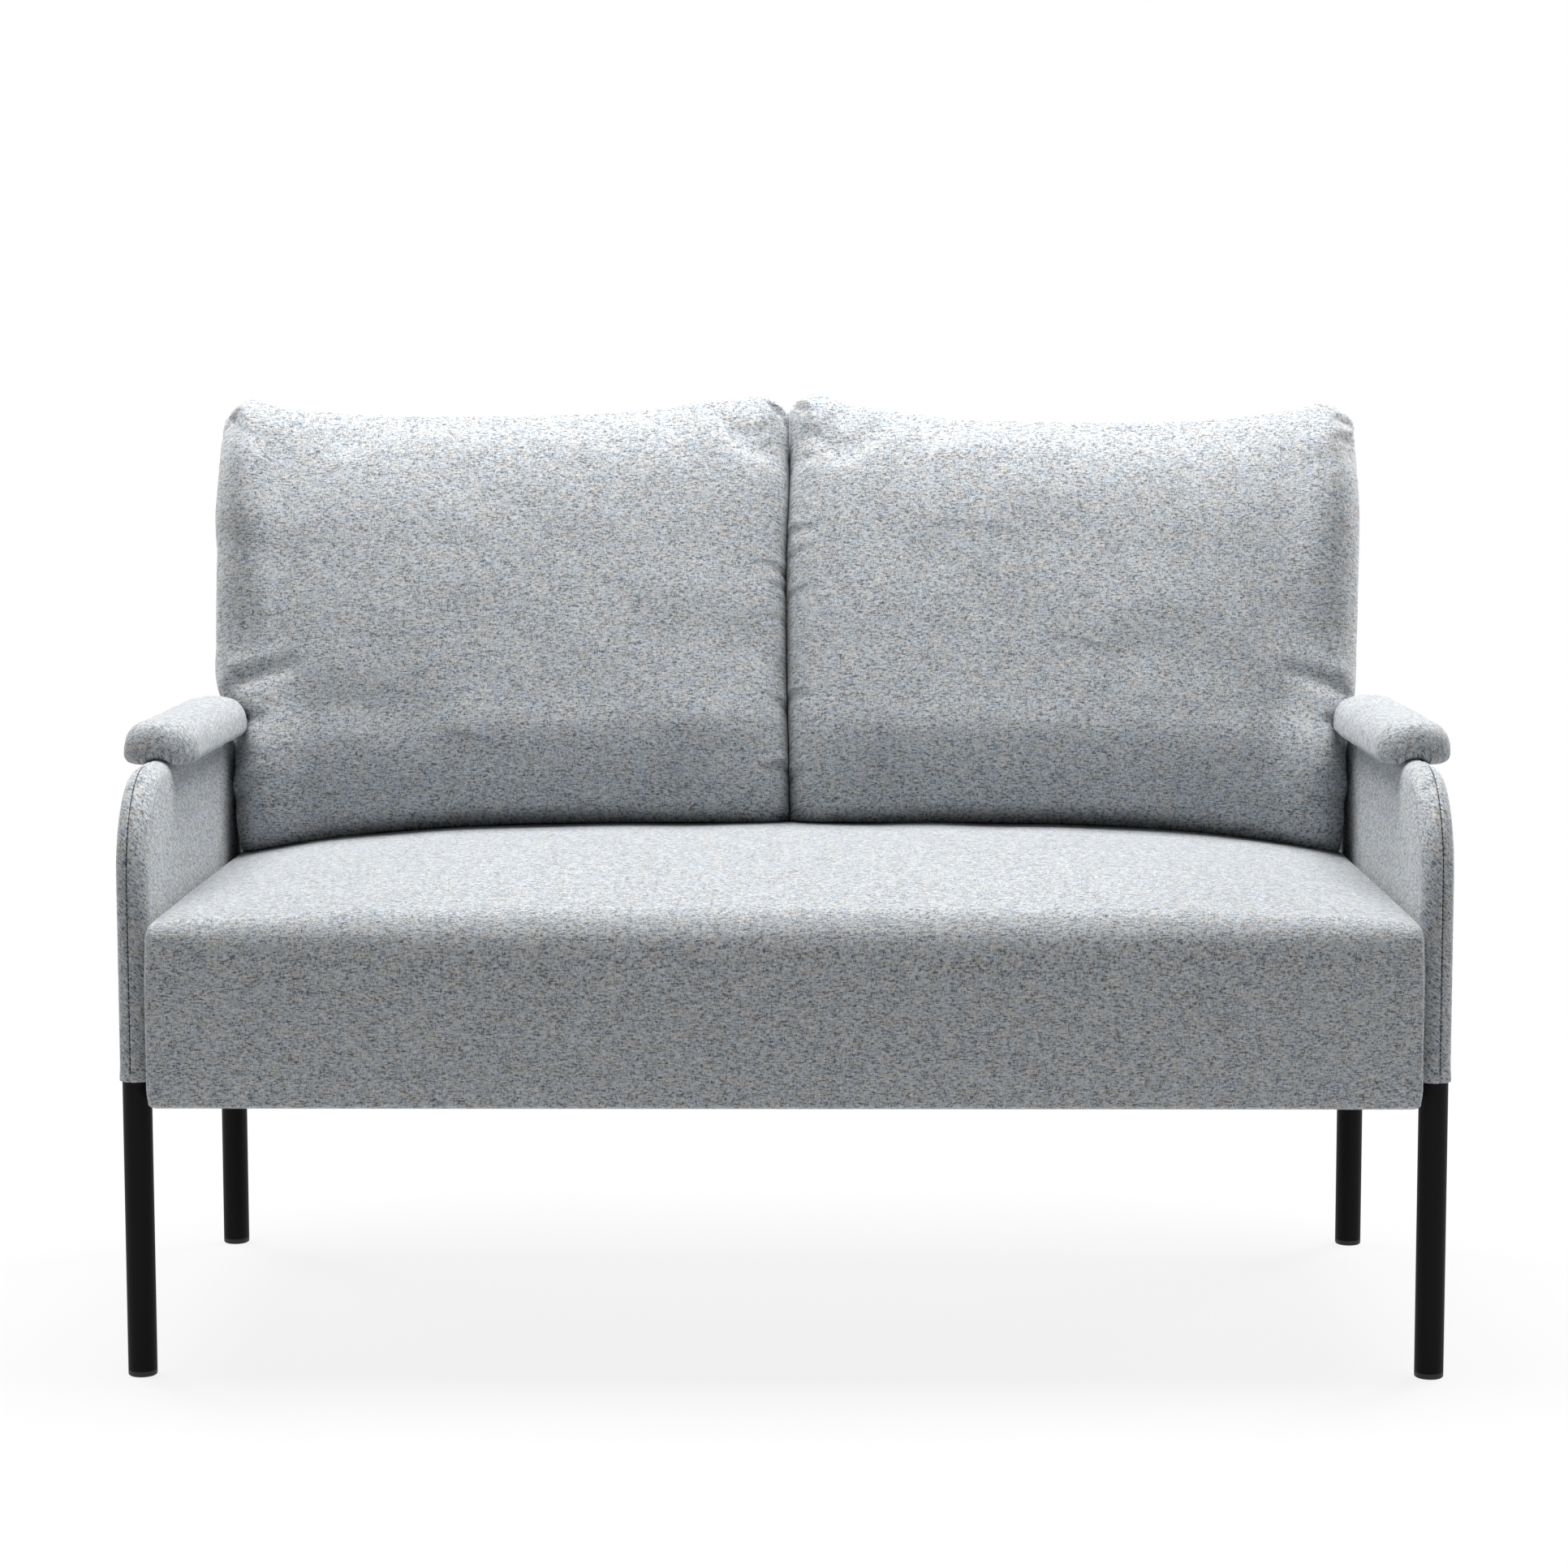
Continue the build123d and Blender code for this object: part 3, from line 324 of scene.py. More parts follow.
# slot, name, dark and light colour, grain scale along each axis, roughness, metal, bump depth
finishTable = (
    ("zinc_steel", "zincPlate", (0.48, 0.49, 0.51), (0.62, 0.63, 0.64), (400, 400, 400), 0.32, 1.0, 0.00003),
    ("glide_plastic", "glidePlastic", (0.01, 0.01, 0.011), (0.018, 0.018, 0.019),
     (1200, 1200, 1200), 0.55, 0.0, 0.00008),
    ("saddle_plastic", "saddlePlastic", (0.014, 0.014, 0.014), (0.024, 0.024, 0.024),
     (900, 900, 900), 0.6, 0.0, 0.0001),
    ("timber", "planedPine", (0.50, 0.34, 0.19), (0.70, 0.53, 0.34), (18, 240, 240), 0.62, 0.0, 0.0002),
    ("foam", "paleFoam", (0.76, 0.72, 0.60), (0.88, 0.85, 0.75), (500, 500, 500), 0.95, 0.0, 0.0006),
    ("webbing", "elasticWebbing", (0.03, 0.03, 0.033), (0.08, 0.08, 0.085),
     (1400, 300, 300), 0.85, 0.0, 0.0003),
    ("felt", "needledFelt", (0.24, 0.23, 0.22), (0.46, 0.45, 0.44), (350, 350, 350), 0.95, 0.0, 0.0005),
    ("dust_cloth", "spunBondedCloth", (0.018, 0.018, 0.02), (0.045, 0.045, 0.05),
     (260, 260, 260), 0.85, 0.0, 0.0003),
)
finishes = {
    "grey_fabric": melangeCloth(),
    "black_steel": grainy("satinBlackCoat", (0.0075, 0.0065, 0.0075), (0.0105, 0.0095, 0.0105), (900, 900, 900),
                          0.5, 0.0, 0.00005, specular=0.08),
}
for slotName, *values in finishTable:
    finishes[slotName] = grainy(*values)
seamThread = grainy("seamThread", (0.020, 0.021, 0.024), (0.060, 0.063, 0.070), (2500, 2500, 2500),
                    0.8, 0.0, 0.0001)
materialSlots = {entry["node"]: entry["material_slot"] for entry in frame["record"]["subparts"]}
for node, cadObject in frame["nodes"].items():
    cadObject.data.materials.clear()
    cadObject.data.materials.append(finishes[materialSlots[node]])
print("finishes done")


def dress(piece, body, slotName, replaced=(), material=None):
    piece.data.materials.clear()
    piece.data.materials.append(material or finishes[slotName])
    if replaced:
        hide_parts(*replaced)
    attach(piece, body)


# block with rounded edges: a box's skin, each point pushed from the inset box out to its ellipsoid corner
def axisPlaces(low, high, zoneLow, zoneHigh, zoneSteps, middleSteps):
    # round stretches are stepped by the tangent of even angles, so that the arcs come out even
    angles = np.tan(np.linspace(0, math.pi / 4, zoneSteps + 1))
    middle = np.linspace(low + zoneLow, high - zoneHigh, middleSteps + 1)[1:-1]
    return np.concatenate([low + zoneLow * (1 - angles[::-1]), middle, high - zoneHigh * (1 - angles)])


def boxSkin(xs, ys, zs):
    # six grids, with their points, quads and cloth map: fronts by x and z, tops by x and y, ends by y and z
    points, quads, uvs, start = [], [], [], 0
    low, high = (xs[0], ys[0], zs[0]), (xs[-1], ys[-1], zs[-1])
    for axis, end in ((1, 0), (1, 1), (2, 0), (2, 1), (0, 0), (0, 1)):
        first, second = [places for number, places in enumerate((xs, ys, zs)) if number != axis]
        a, b = np.meshgrid(first, second, indexing="ij")
        fixed = np.full(a.shape, (high if end else low)[axis])
        grid = np.stack([fixed, a, b] if axis == 0 else [a, fixed, b] if axis == 1 else [a, b, fixed], -1)
        outward = bool(end) if axis != 1 else not end
        number = gridQuads(len(first), len(second), start, flip=not outward)
        if axis == 2:
            b = (zs[-1] + (b - ys[0])) if end else (zs[0] - (b - ys[0]))
        flat = np.stack([a, b], -1).reshape(-1, 2)
        points.append(grid.reshape(-1, 3))
        quads.append(number)
        uvs.append(flat[number - start])
        start += a.size
    return np.concatenate(points), np.concatenate(quads), np.concatenate(uvs)


def rounded(points, low, high, radii):
    # q is the point held inside the inset box; the rest is scaled to an ellipsoid of the radii
    lowIn = np.asarray(low) + radii
    highIn = np.asarray(high) - radii
    q = np.clip(points, lowIn, highIn)
    d = (points - q) / np.maximum(radii, 1e-9)
    length = np.maximum(np.linalg.norm(d, axis=1, keepdims=True), 1e-9)
    return q + radii * d / length


# seat: crowned block with a full nose, upholstered in one cloth
seat = {
    "sideTop": 0.478, "frontCrown": 0.014, "crown": 0.039, "rearCrown": 0.031, "crownPower": 3.7,
    "noseSide": 0.020, "noseMiddle": 0.042, "cornerRound": 0.009, "topRound": 0.012, "hemRound": 0.005,
    "noseHeight": 0.080, "puff": 0.0014, "sidePuff": 0.0022, "rippleSize": 0.16, "rippleDepth": 0.0006,
}
seatLow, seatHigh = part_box("seat_cover")
seatHalf = seatHigh.x
seatMidY = (seatLow.y + seatHigh.y) / 2


def crownLeft(x):
    # one at the middle, falling to nothing at the sides with the power of the crown
    return 1 - np.clip(np.abs(x) / seatHalf, 0, 1) ** seat["crownPower"]


def seatTop(x, y):
    # height of the seat's top: a parabola from front to rear through nose, middle and rear heights
    left = crownLeft(x)
    nose = seat["noseSide"] + (seat["noseMiddle"] - seat["noseSide"]) * left
    front, rear = seatLow.y + nose, seatHigh.y + 0.005
    heightFront, heightMid, heightRear = (seat[part] * left for part in ("frontCrown", "crown", "rearCrown"))
    y = np.clip(y, front, rear)
    lagrangeFront = (y - seatMidY) * (y - rear) / ((front - seatMidY) * (front - rear))
    lagrangeMid = (y - front) * (y - rear) / ((seatMidY - front) * (seatMidY - rear))
    lagrangeRear = (y - front) * (y - seatMidY) / ((rear - front) * (rear - seatMidY))
    return seat["sideTop"] + heightFront * lagrangeFront + heightMid * lagrangeMid + heightRear * lagrangeRear


def makeSeat():
    # a rounded block whose top is lifted to seatTop, puffed out in the flats and at the sides
    xs = axisPlaces(-seatHalf, seatHalf, seat["cornerRound"], seat["cornerRound"], 6, 130)
    ys = axisPlaces(seatLow.y, seatHigh.y, seat["noseMiddle"], seat["cornerRound"], 12, 60)
    zs = axisPlaces(seatLow.z, seat["sideTop"], seat["hemRound"], seat["noseMiddle"], 8, 20)
    points, quads, uvs = boxSkin(xs, ys, zs)
    left = crownLeft(points[:, 0])
    nose = seat["noseSide"] + (seat["noseMiddle"] - seat["noseSide"]) * left
    up = smooth((points[:, 2] - (seat["sideTop"] - seat["noseHeight"])) / seat["noseHeight"])
    towardsFront = smooth((seatMidY - points[:, 1]) / (seatMidY - seatLow.y) * 1.6 - 0.4)
    vertical = np.where(points[:, 2] > (seatLow.z + seat["sideTop"]) / 2,
                        seat["topRound"] + (nose - seat["topRound"]) * towardsFront, seat["hemRound"])
    deep = seat["cornerRound"] + (nose - seat["cornerRound"]) * up * towardsFront
    radii = np.stack([np.full(len(points), seat["cornerRound"]), deep, vertical], -1)
    corners = (-seatHalf, seatLow.y, seatLow.z), (seatHalf, seatHigh.y, seat["sideTop"])
    shaped = rounded(points, *corners, radii)
    lift = smooth((shaped[:, 2] - (seat["sideTop"] - seat["noseHeight"])) / seat["noseHeight"])
    shaped[:, 2] += lift * (seatTop(shaped[:, 0], shaped[:, 1]) - seat["sideTop"])
    piece = makeMesh("seat_upholstery", shaped, quads, uvs)
    joinDoubles(piece)
    recalc(piece)
    points = pointsOf(piece)
    inFlat = smooth((points[:, 2] - seatLow.z - 0.006) / 0.05)
    inFlat *= smooth((seatHalf - np.abs(points[:, 0])) / 0.05)
    move = seat["puff"] * inFlat + seat["rippleDepth"] * inFlat * ripple(points, seat["rippleSize"], 3)
    points = points + pointsOf(piece, "normal") * move[:, None]
    points[:, 0] *= 1 + seat["sidePuff"] / seatHalf * smooth((points[:, 2] - seatLow.z) / 0.02)
    setPoints(piece, points)
    dress(piece, "frame_and_seat", "grey_fabric", ("seat_cover", "seat_foam"))


makeSeat()
print("seat done")


# sleeves over the side frames: half round along the bent tube, nearly flat between
sleeve = {
    "bend": 0.090, "armAxis": 0.609, "roundSteps": 18, "edgeSteps": 200, "panelSteps": 44,
    "puff": 0.0006, "seamAngle": 14.0, "seamDepth": 0.0019, "seamWidth": 0.0011, "hemBand": 0.010,
    "hemProud": 0.0006, "cloth": 0.0016, "stitchLength": 0.0040, "stitchGap": 0.0008, "stitchThick": 0.00055,
    "puckerSize": 0.012, "puckerDepth": 0.0004, "puckerReach": 0.006, "slant": 0.6, "panelSqueeze": 0.55,
}


def slanted(a, b, turn):
    # cloth map turned on the spot
    return np.stack([a * math.cos(turn) - b * math.sin(turn), a * math.sin(turn) + b * math.cos(turn)], -1)


def sleeveEdge(steps, hem):
    # the bent tube's centre line from the front hem over the arm to the rear hem, with its outward normals
    armAxis, bend, frontY, rearY = sleeve["armAxis"], sleeve["bend"], frontLeg.y, rearLeg.y
    up = armAxis - bend - hem
    quarter = bend * math.pi / 2
    across = rearY - frontY - 2 * bend
    total = 2 * up + 2 * quarter + across
    s = np.linspace(0, total, steps + 1)
    a1 = np.clip((s - up) / bend, 0, math.pi / 2)
    a2 = np.clip((s - up - quarter - across) / bend, 0, math.pi / 2)
    flat = np.clip(s - up - quarter, 0, across)
    y = frontY + bend * (1 - np.cos(a1)) + flat + bend * np.sin(a2)
    down = np.clip(s - up - 2 * quarter - across, 0, up)
    z = hem + np.clip(s, 0, up) + bend * np.sin(a1) - bend * (1 - np.cos(a2)) - down
    turn = a1 + a2
    return np.stack([y, z], -1), np.stack([-np.cos(turn), np.sin(turn)], -1), s


def makeSleeve(sideName, sign):
    # rim: centre line plus the radius, less the seam's groove, swept through half a turn about it
    w = sleeve
    low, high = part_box("side_cover_" + sideName)
    r = (high.x - low.x) / 2
    x = sign * legX
    line, outward, s = sleeveEdge(w["edgeSteps"], low.z)
    seam = math.radians(w["seamAngle"]) * sign
    angles = np.linspace(-math.pi / 2, math.pi / 2, w["roundSteps"] + 1)
    beside = w["seamWidth"] / r * np.linspace(-1.8, 1.8, 9)  # columns close together over the groove
    angles = np.sort(np.concatenate([angles[np.abs(angles - seam) > 2.1 * w["seamWidth"] / r], seam + beside]))
    depth = w["seamDepth"] * bell(r * (angles - seam), w["seamWidth"])
    band = w["hemProud"] * (1 - smooth((np.minimum(s, s[-1] - s) - w["hemBand"]) / 0.002))
    pucker = w["puckerDepth"] * np.sin(2 * np.pi * s / w["puckerSize"])[:, None]
    reach = r - depth[None, :] + band[:, None] + pucker * bell(r * (angles - seam), w["puckerReach"])[None, :]
    rim = np.stack([x + reach * np.sin(angles)[None, :],
                    line[:, 0:1] + reach * np.cos(angles)[None, :] * outward[:, 0:1],
                    line[:, 1:2] + reach * np.cos(angles)[None, :] * outward[:, 1:2]], -1)
    around, up = (np.broadcast_to(part, rim.shape[:2]) for part in (r * angles[None, :], s[:, None]))
    rimUv = slanted(around, up, w["slant"])
    rows, columns = rim.shape[:2]
    number = gridQuads(rows, columns, flip=False)
    points, quads, uvs, start = [rim.reshape(-1, 3)], [number], [rimUv.reshape(-1, 2)[number]], rows * columns
    # flat panels: straight lines from the rim in to the upright line up the middle
    half = w["edgeSteps"] // 2
    climb = np.linspace(0, 1, half + 1)
    middleUp = low.z + (w["armAxis"] - low.z) * np.concatenate([climb, climb[-2::-1]])
    share = np.linspace(0, 1, w["panelSteps"] + 1)
    y = line[:, 0:1] * (1 - share) + legMidY * share
    z = line[:, 1:2] * (1 - share) + middleUp[:, None] * share
    for face in (-1, 1):
        depthIn = np.minimum(np.minimum(y - line[0, 0], line[-1, 0] - y), w["armAxis"] - z)
        puff = w["puff"] * smooth(depthIn / 0.06) + band[:, None] * (1 - share) ** 8
        grid = np.stack([x + face * (r + puff), y, z], -1)
        panel = gridQuads(rows, len(share), start, flip=face > 0)
        points.append(grid.reshape(-1, 3))
        quads.append(panel)
        uvs.append(slanted(w["panelSqueeze"] * y, z, w["slant"]).reshape(-1, 2)[panel - start])
        start += grid.size // 3
    piece = makeMesh("sleeve_" + sideName, np.concatenate(points), np.concatenate(quads), np.concatenate(uvs))
    joinDoubles(piece, 2e-5)
    recalc(piece)
    thicken(piece, w["cloth"], -1)
    dress(piece, "frame_and_seat", "grey_fabric", ("side_cover_" + sideName, "side_foam_" + sideName))
    makeStitches("sleeve_stitches_" + sideName, x, r - w["seamDepth"] * 0.6, seam, line, outward, s)
    makeSleeveFloor(sideName, x, low.z + 0.004, r)


def makeStitches(name, x, reach, angle, line, outward, s):
    # short threads laid end to end along the seam, each a squat six-sided spindle
    w = sleeve
    pitch = w["stitchLength"] + w["stitchGap"]
    count = int((s[-1] - 0.02) / pitch)
    centres = 0.01 + pitch * np.arange(count)
    along = np.linspace(-0.5, 0.5, 5)
    fat = np.array([0.25, 0.9, 1.0, 0.9, 0.25]) * w["stitchThick"]
    places = centres[:, None] + along[None, :] * w["stitchLength"]
    out = [np.interp(places, s, outward[:, k]) for k in (0, 1)]
    core = [np.interp(places, s, line[:, k]) for k in (0, 1)]
    turn = np.linspace(0, 2 * math.pi, 6, endpoint=False)
    radius = reach + fat[None, :, None] * np.cos(turn)[None, None, :]
    side = fat[None, :, None] * np.sin(turn)[None, None, :]
    away = radius * math.cos(angle) - side * math.sin(angle)
    across = x + radius * math.sin(angle) + side * math.cos(angle)
    deep, tall = [core[k][..., None] + away * out[k][..., None] for k in (0, 1)]
    points = np.stack([np.broadcast_to(across, deep.shape), deep, tall], -1)
    body = gridQuads(5, 6, closed=True)
    caps = np.array([[0, 1, 2, 3], [0, 3, 4, 5], [27, 26, 25, 24], [29, 28, 27, 24]])
    one = np.concatenate([body, caps])
    quads = (one[None] + 30 * np.arange(count)[:, None, None]).reshape(-1, 4)
    piece = makeMesh(name, points, quads)
    recalc(piece)
    dress(piece, "frame_and_seat", "grey_fabric", material=seamThread)


def makeSleeveFloor(sideName, x, height, r):
    # strip of cloth that closes the sleeve below between its legs, slightly sagging
    ys = np.linspace(frontLeg.y + r + 0.001, rearLeg.y - r - 0.001, 60)
    xs = x + np.linspace(-(r - 0.0017), r - 0.0017, 9)
    a, b = np.meshgrid(xs, ys, indexing="ij")
    sag = 0.0012 * np.sin(np.linspace(0, math.pi, 60))[None, :]
    grid = np.stack([a, b, height - sag + 0 * a], -1)
    number = gridQuads(9, 60, flip=True)
    piece = makeMesh("sleeve_floor_" + sideName, grid, number, np.stack([b, a], -1).reshape(-1, 2)[number])
    thicken(piece, 0.0012, 1)
    dress(piece, "frame_and_seat", "grey_fabric")


for sideName, sign in sides:
    makeSleeve(sideName, sign)
print("sleeves done")


# arm pads: long rounded plan, domed right across, soft below and gathered at the ends
pad = {
    "corner": 0.030, "inward": 0.0015, "roll": 0.0105, "crown": 0.0070, "domePower": 4.5, "domeRoot": 0.45,
    "sidePuff": 0.0015, "turnSteps": 200, "rollSteps": 9, "domeSteps": 26, "droop": 0.0056, "clear": 0.0008,
    "gatherDepth": 0.0004, "gatherSize": 0.009, "rippleDepth": 0.0004, "rippleSize": 0.05, "slant": 0.5,
}


def planLine(halfWide, halfLong, corner, steps):
    # rounded rectangle by even steps of length, with its outward normals
    straightX, straightY = halfWide - corner, halfLong - corner
    quarter = corner * math.pi / 2
    lengths = np.array([2 * straightY, quarter, 2 * straightX, quarter] * 2)
    ends = np.concatenate([[0], np.cumsum(lengths)])
    s = np.linspace(0, ends[-1], steps, endpoint=False)
    turn = sum(np.clip((s - ends[k]) / quarter, 0, 1) * math.pi / 2 for k in (1, 3, 5, 7))
    ways = np.stack([np.cos(turn), np.sin(turn)], -1)
    done = [np.clip((s - ends[k]) / lengths[k], 0, 1) for k in range(8)]  # share of each stretch passed
    centreX = straightX * (1 - 2 * done[2] + 2 * done[6])
    centreY = straightY * (-1 + 2 * done[0] - 2 * done[4])
    return np.stack([centreX, centreY], -1), ways, s


def makePad(sideName, sign):
    # rings round the plan: in under the pad, up round the roll, then over the dome to a spine
    p = pad
    low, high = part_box("arm_pad_cover_" + sideName)
    centre = (low + high) / 2
    halfWide, halfLong, halfTall = (high.x - low.x) / 2, (high.y - low.y) / 2, (high.z - low.z) / 2
    core, ways, s = planLine(halfWide, halfLong, p["corner"], p["turnSteps"])
    outline = core + ways * (p["corner"] + p["sidePuff"])
    spine = np.stack([0 * core[:, 0], np.clip(outline[:, 1], halfWide - halfLong, halfLong - halfWide)], -1)
    up = 2 * halfTall + p["crown"] - p["roll"]
    rings, heights, grips = [], [], []
    for share in smooth(np.linspace(1, 0, 12))[:-1] * 0.98:
        inset = outline - ways * p["roll"]
        rings.append(inset * (1 - share) + spine * share)
        heights.append(0 * s)
        grips.append(1.0)
    waves = p["gatherDepth"] * np.sin(2 * np.pi * s / p["gatherSize"])
    for angle in np.linspace(-math.pi / 2, 0, p["rollSteps"]):
        gather = waves * -math.sin(2 * angle)
        rings.append(outline - ways * (p["roll"] * (1 - math.cos(angle)) + gather[:, None]))
        heights.append(p["roll"] * (1 + math.sin(angle)) + 0 * s)
        grips.append(1.0)
    # dome: height grows with (1 - (1 - share) ^ power) ^ root from the widest line to the spine
    for share in 0.98 * (1 - np.cos(np.linspace(0, math.pi / 2, p["domeSteps"] + 1)))[1:]:
        rings.append(outline * (1 - share) + spine * share)
        heights.append(p["roll"] + up * (1 - (1 - share) ** p["domePower"]) ** p["domeRoot"] + 0 * s)
        grips.append((1 - share) ** 2)
    rings, heights, grips = np.stack(rings), np.stack(heights), np.array(grips)[:, None]
    # beside the round arm the underside droops, always clear of the sleeve's circle
    armLow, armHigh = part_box("side_cover_" + sideName)
    reach = (armHigh.x - armLow.x) / 2 + sleeve["puff"] + p["clear"]
    circle = sleeve["armAxis"] + np.sqrt(np.clip(reach**2 - rings[..., 0] ** 2, 0, None))
    droop = np.clip(low.z - circle, 0, p["droop"]) * grips
    points = np.stack([centre.x - sign * p["inward"] + rings[..., 0], centre.y + rings[..., 1],
                       low.z + heights - droop], -1)
    rows, columns = points.shape[:2]
    number = gridQuads(rows, columns, closed=True)
    below = 2 * halfTall + p["crown"] - heights
    uv = slanted(rings[..., 0] + below * ways[:, 0], rings[..., 1] + below * ways[:, 1], p["slant"])
    piece = makeMesh("arm_pad_" + sideName, points, number, uv.reshape(-1, 2)[number])
    closeEnds(piece)
    recalc(piece)
    shaped = pointsOf(piece)
    move = p["rippleDepth"] * ripple(shaped, p["rippleSize"], 5 + sign)
    setPoints(piece, shaped + pointsOf(piece, "normal") * move[:, None])
    dress(piece, "frame_and_seat", "grey_fabric", ("arm_pad_cover_" + sideName, "arm_pad_foam_" + sideName))


for sideName, sign in sides:
    makePad(sideName, sign)
print("arm pads done")


# back rest: a leaning padded panel with rounded edges
back = {
    "height": 0.480, "hang": 0.014, "sidePuff": 0.0050, "thick": 0.046, "edgeRound": 0.008, "rearRound": 0.004,
    "sink": 0.0003, "rippleDepth": 0.00024, "rippleSize": 0.2,
}
backLow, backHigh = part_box("back_cover")
backFootY = backHigh.y - back["height"] * leanSin - back["thick"] * leanCos
backFootZ = backLow.z + back["thick"] * leanSin


def fromBack(across, climb, out):
    # across the sofa, up the back's face and out of it
    return np.stack([across, backFootY + climb * leanSin - out * leanCos,
                     backFootZ + climb * leanCos + out * leanSin], -1)


def makeBack():
    # a rounded block in the back's own directions, pressed in a little over its flats
    half = backHigh.x + back["sidePuff"]
    xs = axisPlaces(-half, half, back["rearRound"], back["rearRound"], 4, 100)
    ys = axisPlaces(0, back["thick"], back["edgeRound"], back["rearRound"], 5, 6)
    zs = axisPlaces(-back["hang"], back["height"], back["edgeRound"], back["edgeRound"], 5, 50)
    points, quads, uvs = boxSkin(xs, ys, zs)
    deep = np.where(points[:, 1] < back["thick"] / 2, back["edgeRound"], back["rearRound"])
    radii = np.stack([np.full(len(points), back["rearRound"]), deep, deep], -1)
    shaped = rounded(points, (-half, 0, -back["hang"]), (half, back["thick"], back["height"]), radii)
    world = fromBack(shaped[:, 0], shaped[:, 2], -shaped[:, 1])
    piece = makeMesh("back_panel", world, quads, uvs)
    joinDoubles(piece)
    recalc(piece)
    points = pointsOf(piece)
    deepIn = (points[:, 1] - backFootY) * leanCos - (points[:, 2] - backFootZ) * leanSin
    inside = smooth(deepIn / 0.02) * smooth((half - np.abs(points[:, 0])) / 0.05)
    move = inside * (back["rippleDepth"] * ripple(points, back["rippleSize"], 8) - back["sink"])
    setPoints(piece, points + pointsOf(piece, "normal") * move[:, None])
    dress(piece, "frame_and_seat", "grey_fabric", ("back_cover", "back_foam"))


makeBack()
print("back done")


# loose cushions: full pillows in the back's own directions, then swollen, tucked and creased
cushion = {
    "gap": 0.0004, "press": 0.0034, "foot": 0.004, "height": 0.5005, "thick": 0.158, "rear": 0.0008,
    "stationShares": (0.0, 0.03, 0.10, 0.30, 0.50, 0.70, 0.90, 0.972, 1.0),
    "footHeights": (0.006, 0.001, 0.0, 0.0, 0.0, -0.008, -0.024, -0.033, -0.034),
    "thickPlaces": (0.0, 0.03, 0.10, 0.30, 0.50, 0.70, 0.80, 0.86, 0.92, 0.965, 1.0),
    "thickShares": (0.60, 0.80, 0.92, 0.98, 1.0, 0.972, 0.930, 0.880, 0.785, 0.655, 0.44),
    "domePlaces": (0.0, 0.07, 0.13, 0.21, 0.29, 0.40, 0.53, 0.64, 0.72, 0.82, 0.877, 0.93, 1.0),
    "domeShares": (0.80, 0.88, 0.945, 1.0, 0.99, 0.972, 0.943, 0.908, 0.875, 0.805, 0.745, 0.67, 0.58),
    "seamShare": 0.42, "lowFuller": 0.34, "highFuller": 0.42, "headRound": 0.29, "footRound": 0.19,
    "rearRound": 0.19, "innerZone": 0.019, "outerZone": 0.015, "lowZone": 0.007, "across": 104, "up": 84,
    "seamDepth": 0.0014, "seamWidth": 0.0026, "gatherSize": 0.021, "gatherDepth": 0.0005, "gatherReach": 0.018,
    "broadDepth": 0.0018, "broadSize": 0.30, "fineDepth": 0.0007, "fineSize": 0.085,
}
# cloth simulation that swells a cushion: stiffness of its cloth, and how much of each movement counts
swelling = {
    "pressure": 3.0, "frames": 20, "quality": 6, "mass": 0.25, "stretch": 18, "shear": 8, "bending": 0.25,
    "seamShrink": 0.05, "seamReach": 0.014, "cap": 0.005, "freedom": (0.15, 0.3, 1.0),
}
# room that a cushion keeps or fills: over the seat, beside the side frame, behind the sleeve's rounded corner
room = {
    "overSeat": 0.0026, "besideLeg": 0.0184, "swell": 0.015, "swellFrom": 0.1085, "swellOver": 0.007,
    "freeFrom": 0.628, "freeOver": 0.014, "free": 0.036,
}
# tops of the two cushions at the stations, up the back
headHeights = {"left": (0.503, 0.5165, 0.5160, 0.5030, 0.4985, 0.4995, 0.5080, 0.5110, 0.4960),
               "right": (0.505, 0.5200, 0.5120, 0.4945, 0.4895, 0.4915, 0.5020, 0.5070, 0.4930)}
# where the two cushions meet: place across at heights up the back
meetHeights = (0.0, 0.07, 0.14, 0.21, 0.33, 0.40, 0.52)
meetPlaces = (-0.0004, -0.0010, -0.0026, -0.0038, -0.0040, -0.0014, -0.0012)
# outer side: distance from the sofa's middle at heights up the back, held by the sleeve and full above the pad
sideHeights = (-0.03, 0.01, 0.06, 0.13, 0.155, 0.175, 0.22, 0.30, 0.40, 0.47, 0.505, 0.53)
sideReach = {"left": (0.642, 0.6462, 0.6466, 0.651, 0.668, 0.675, 0.677, 0.678, 0.680, 0.678, 0.674, 0.668),
             "right": (0.642, 0.6462, 0.6466, 0.650, 0.659, 0.663, 0.666, 0.669, 0.673, 0.671, 0.667, 0.660)}
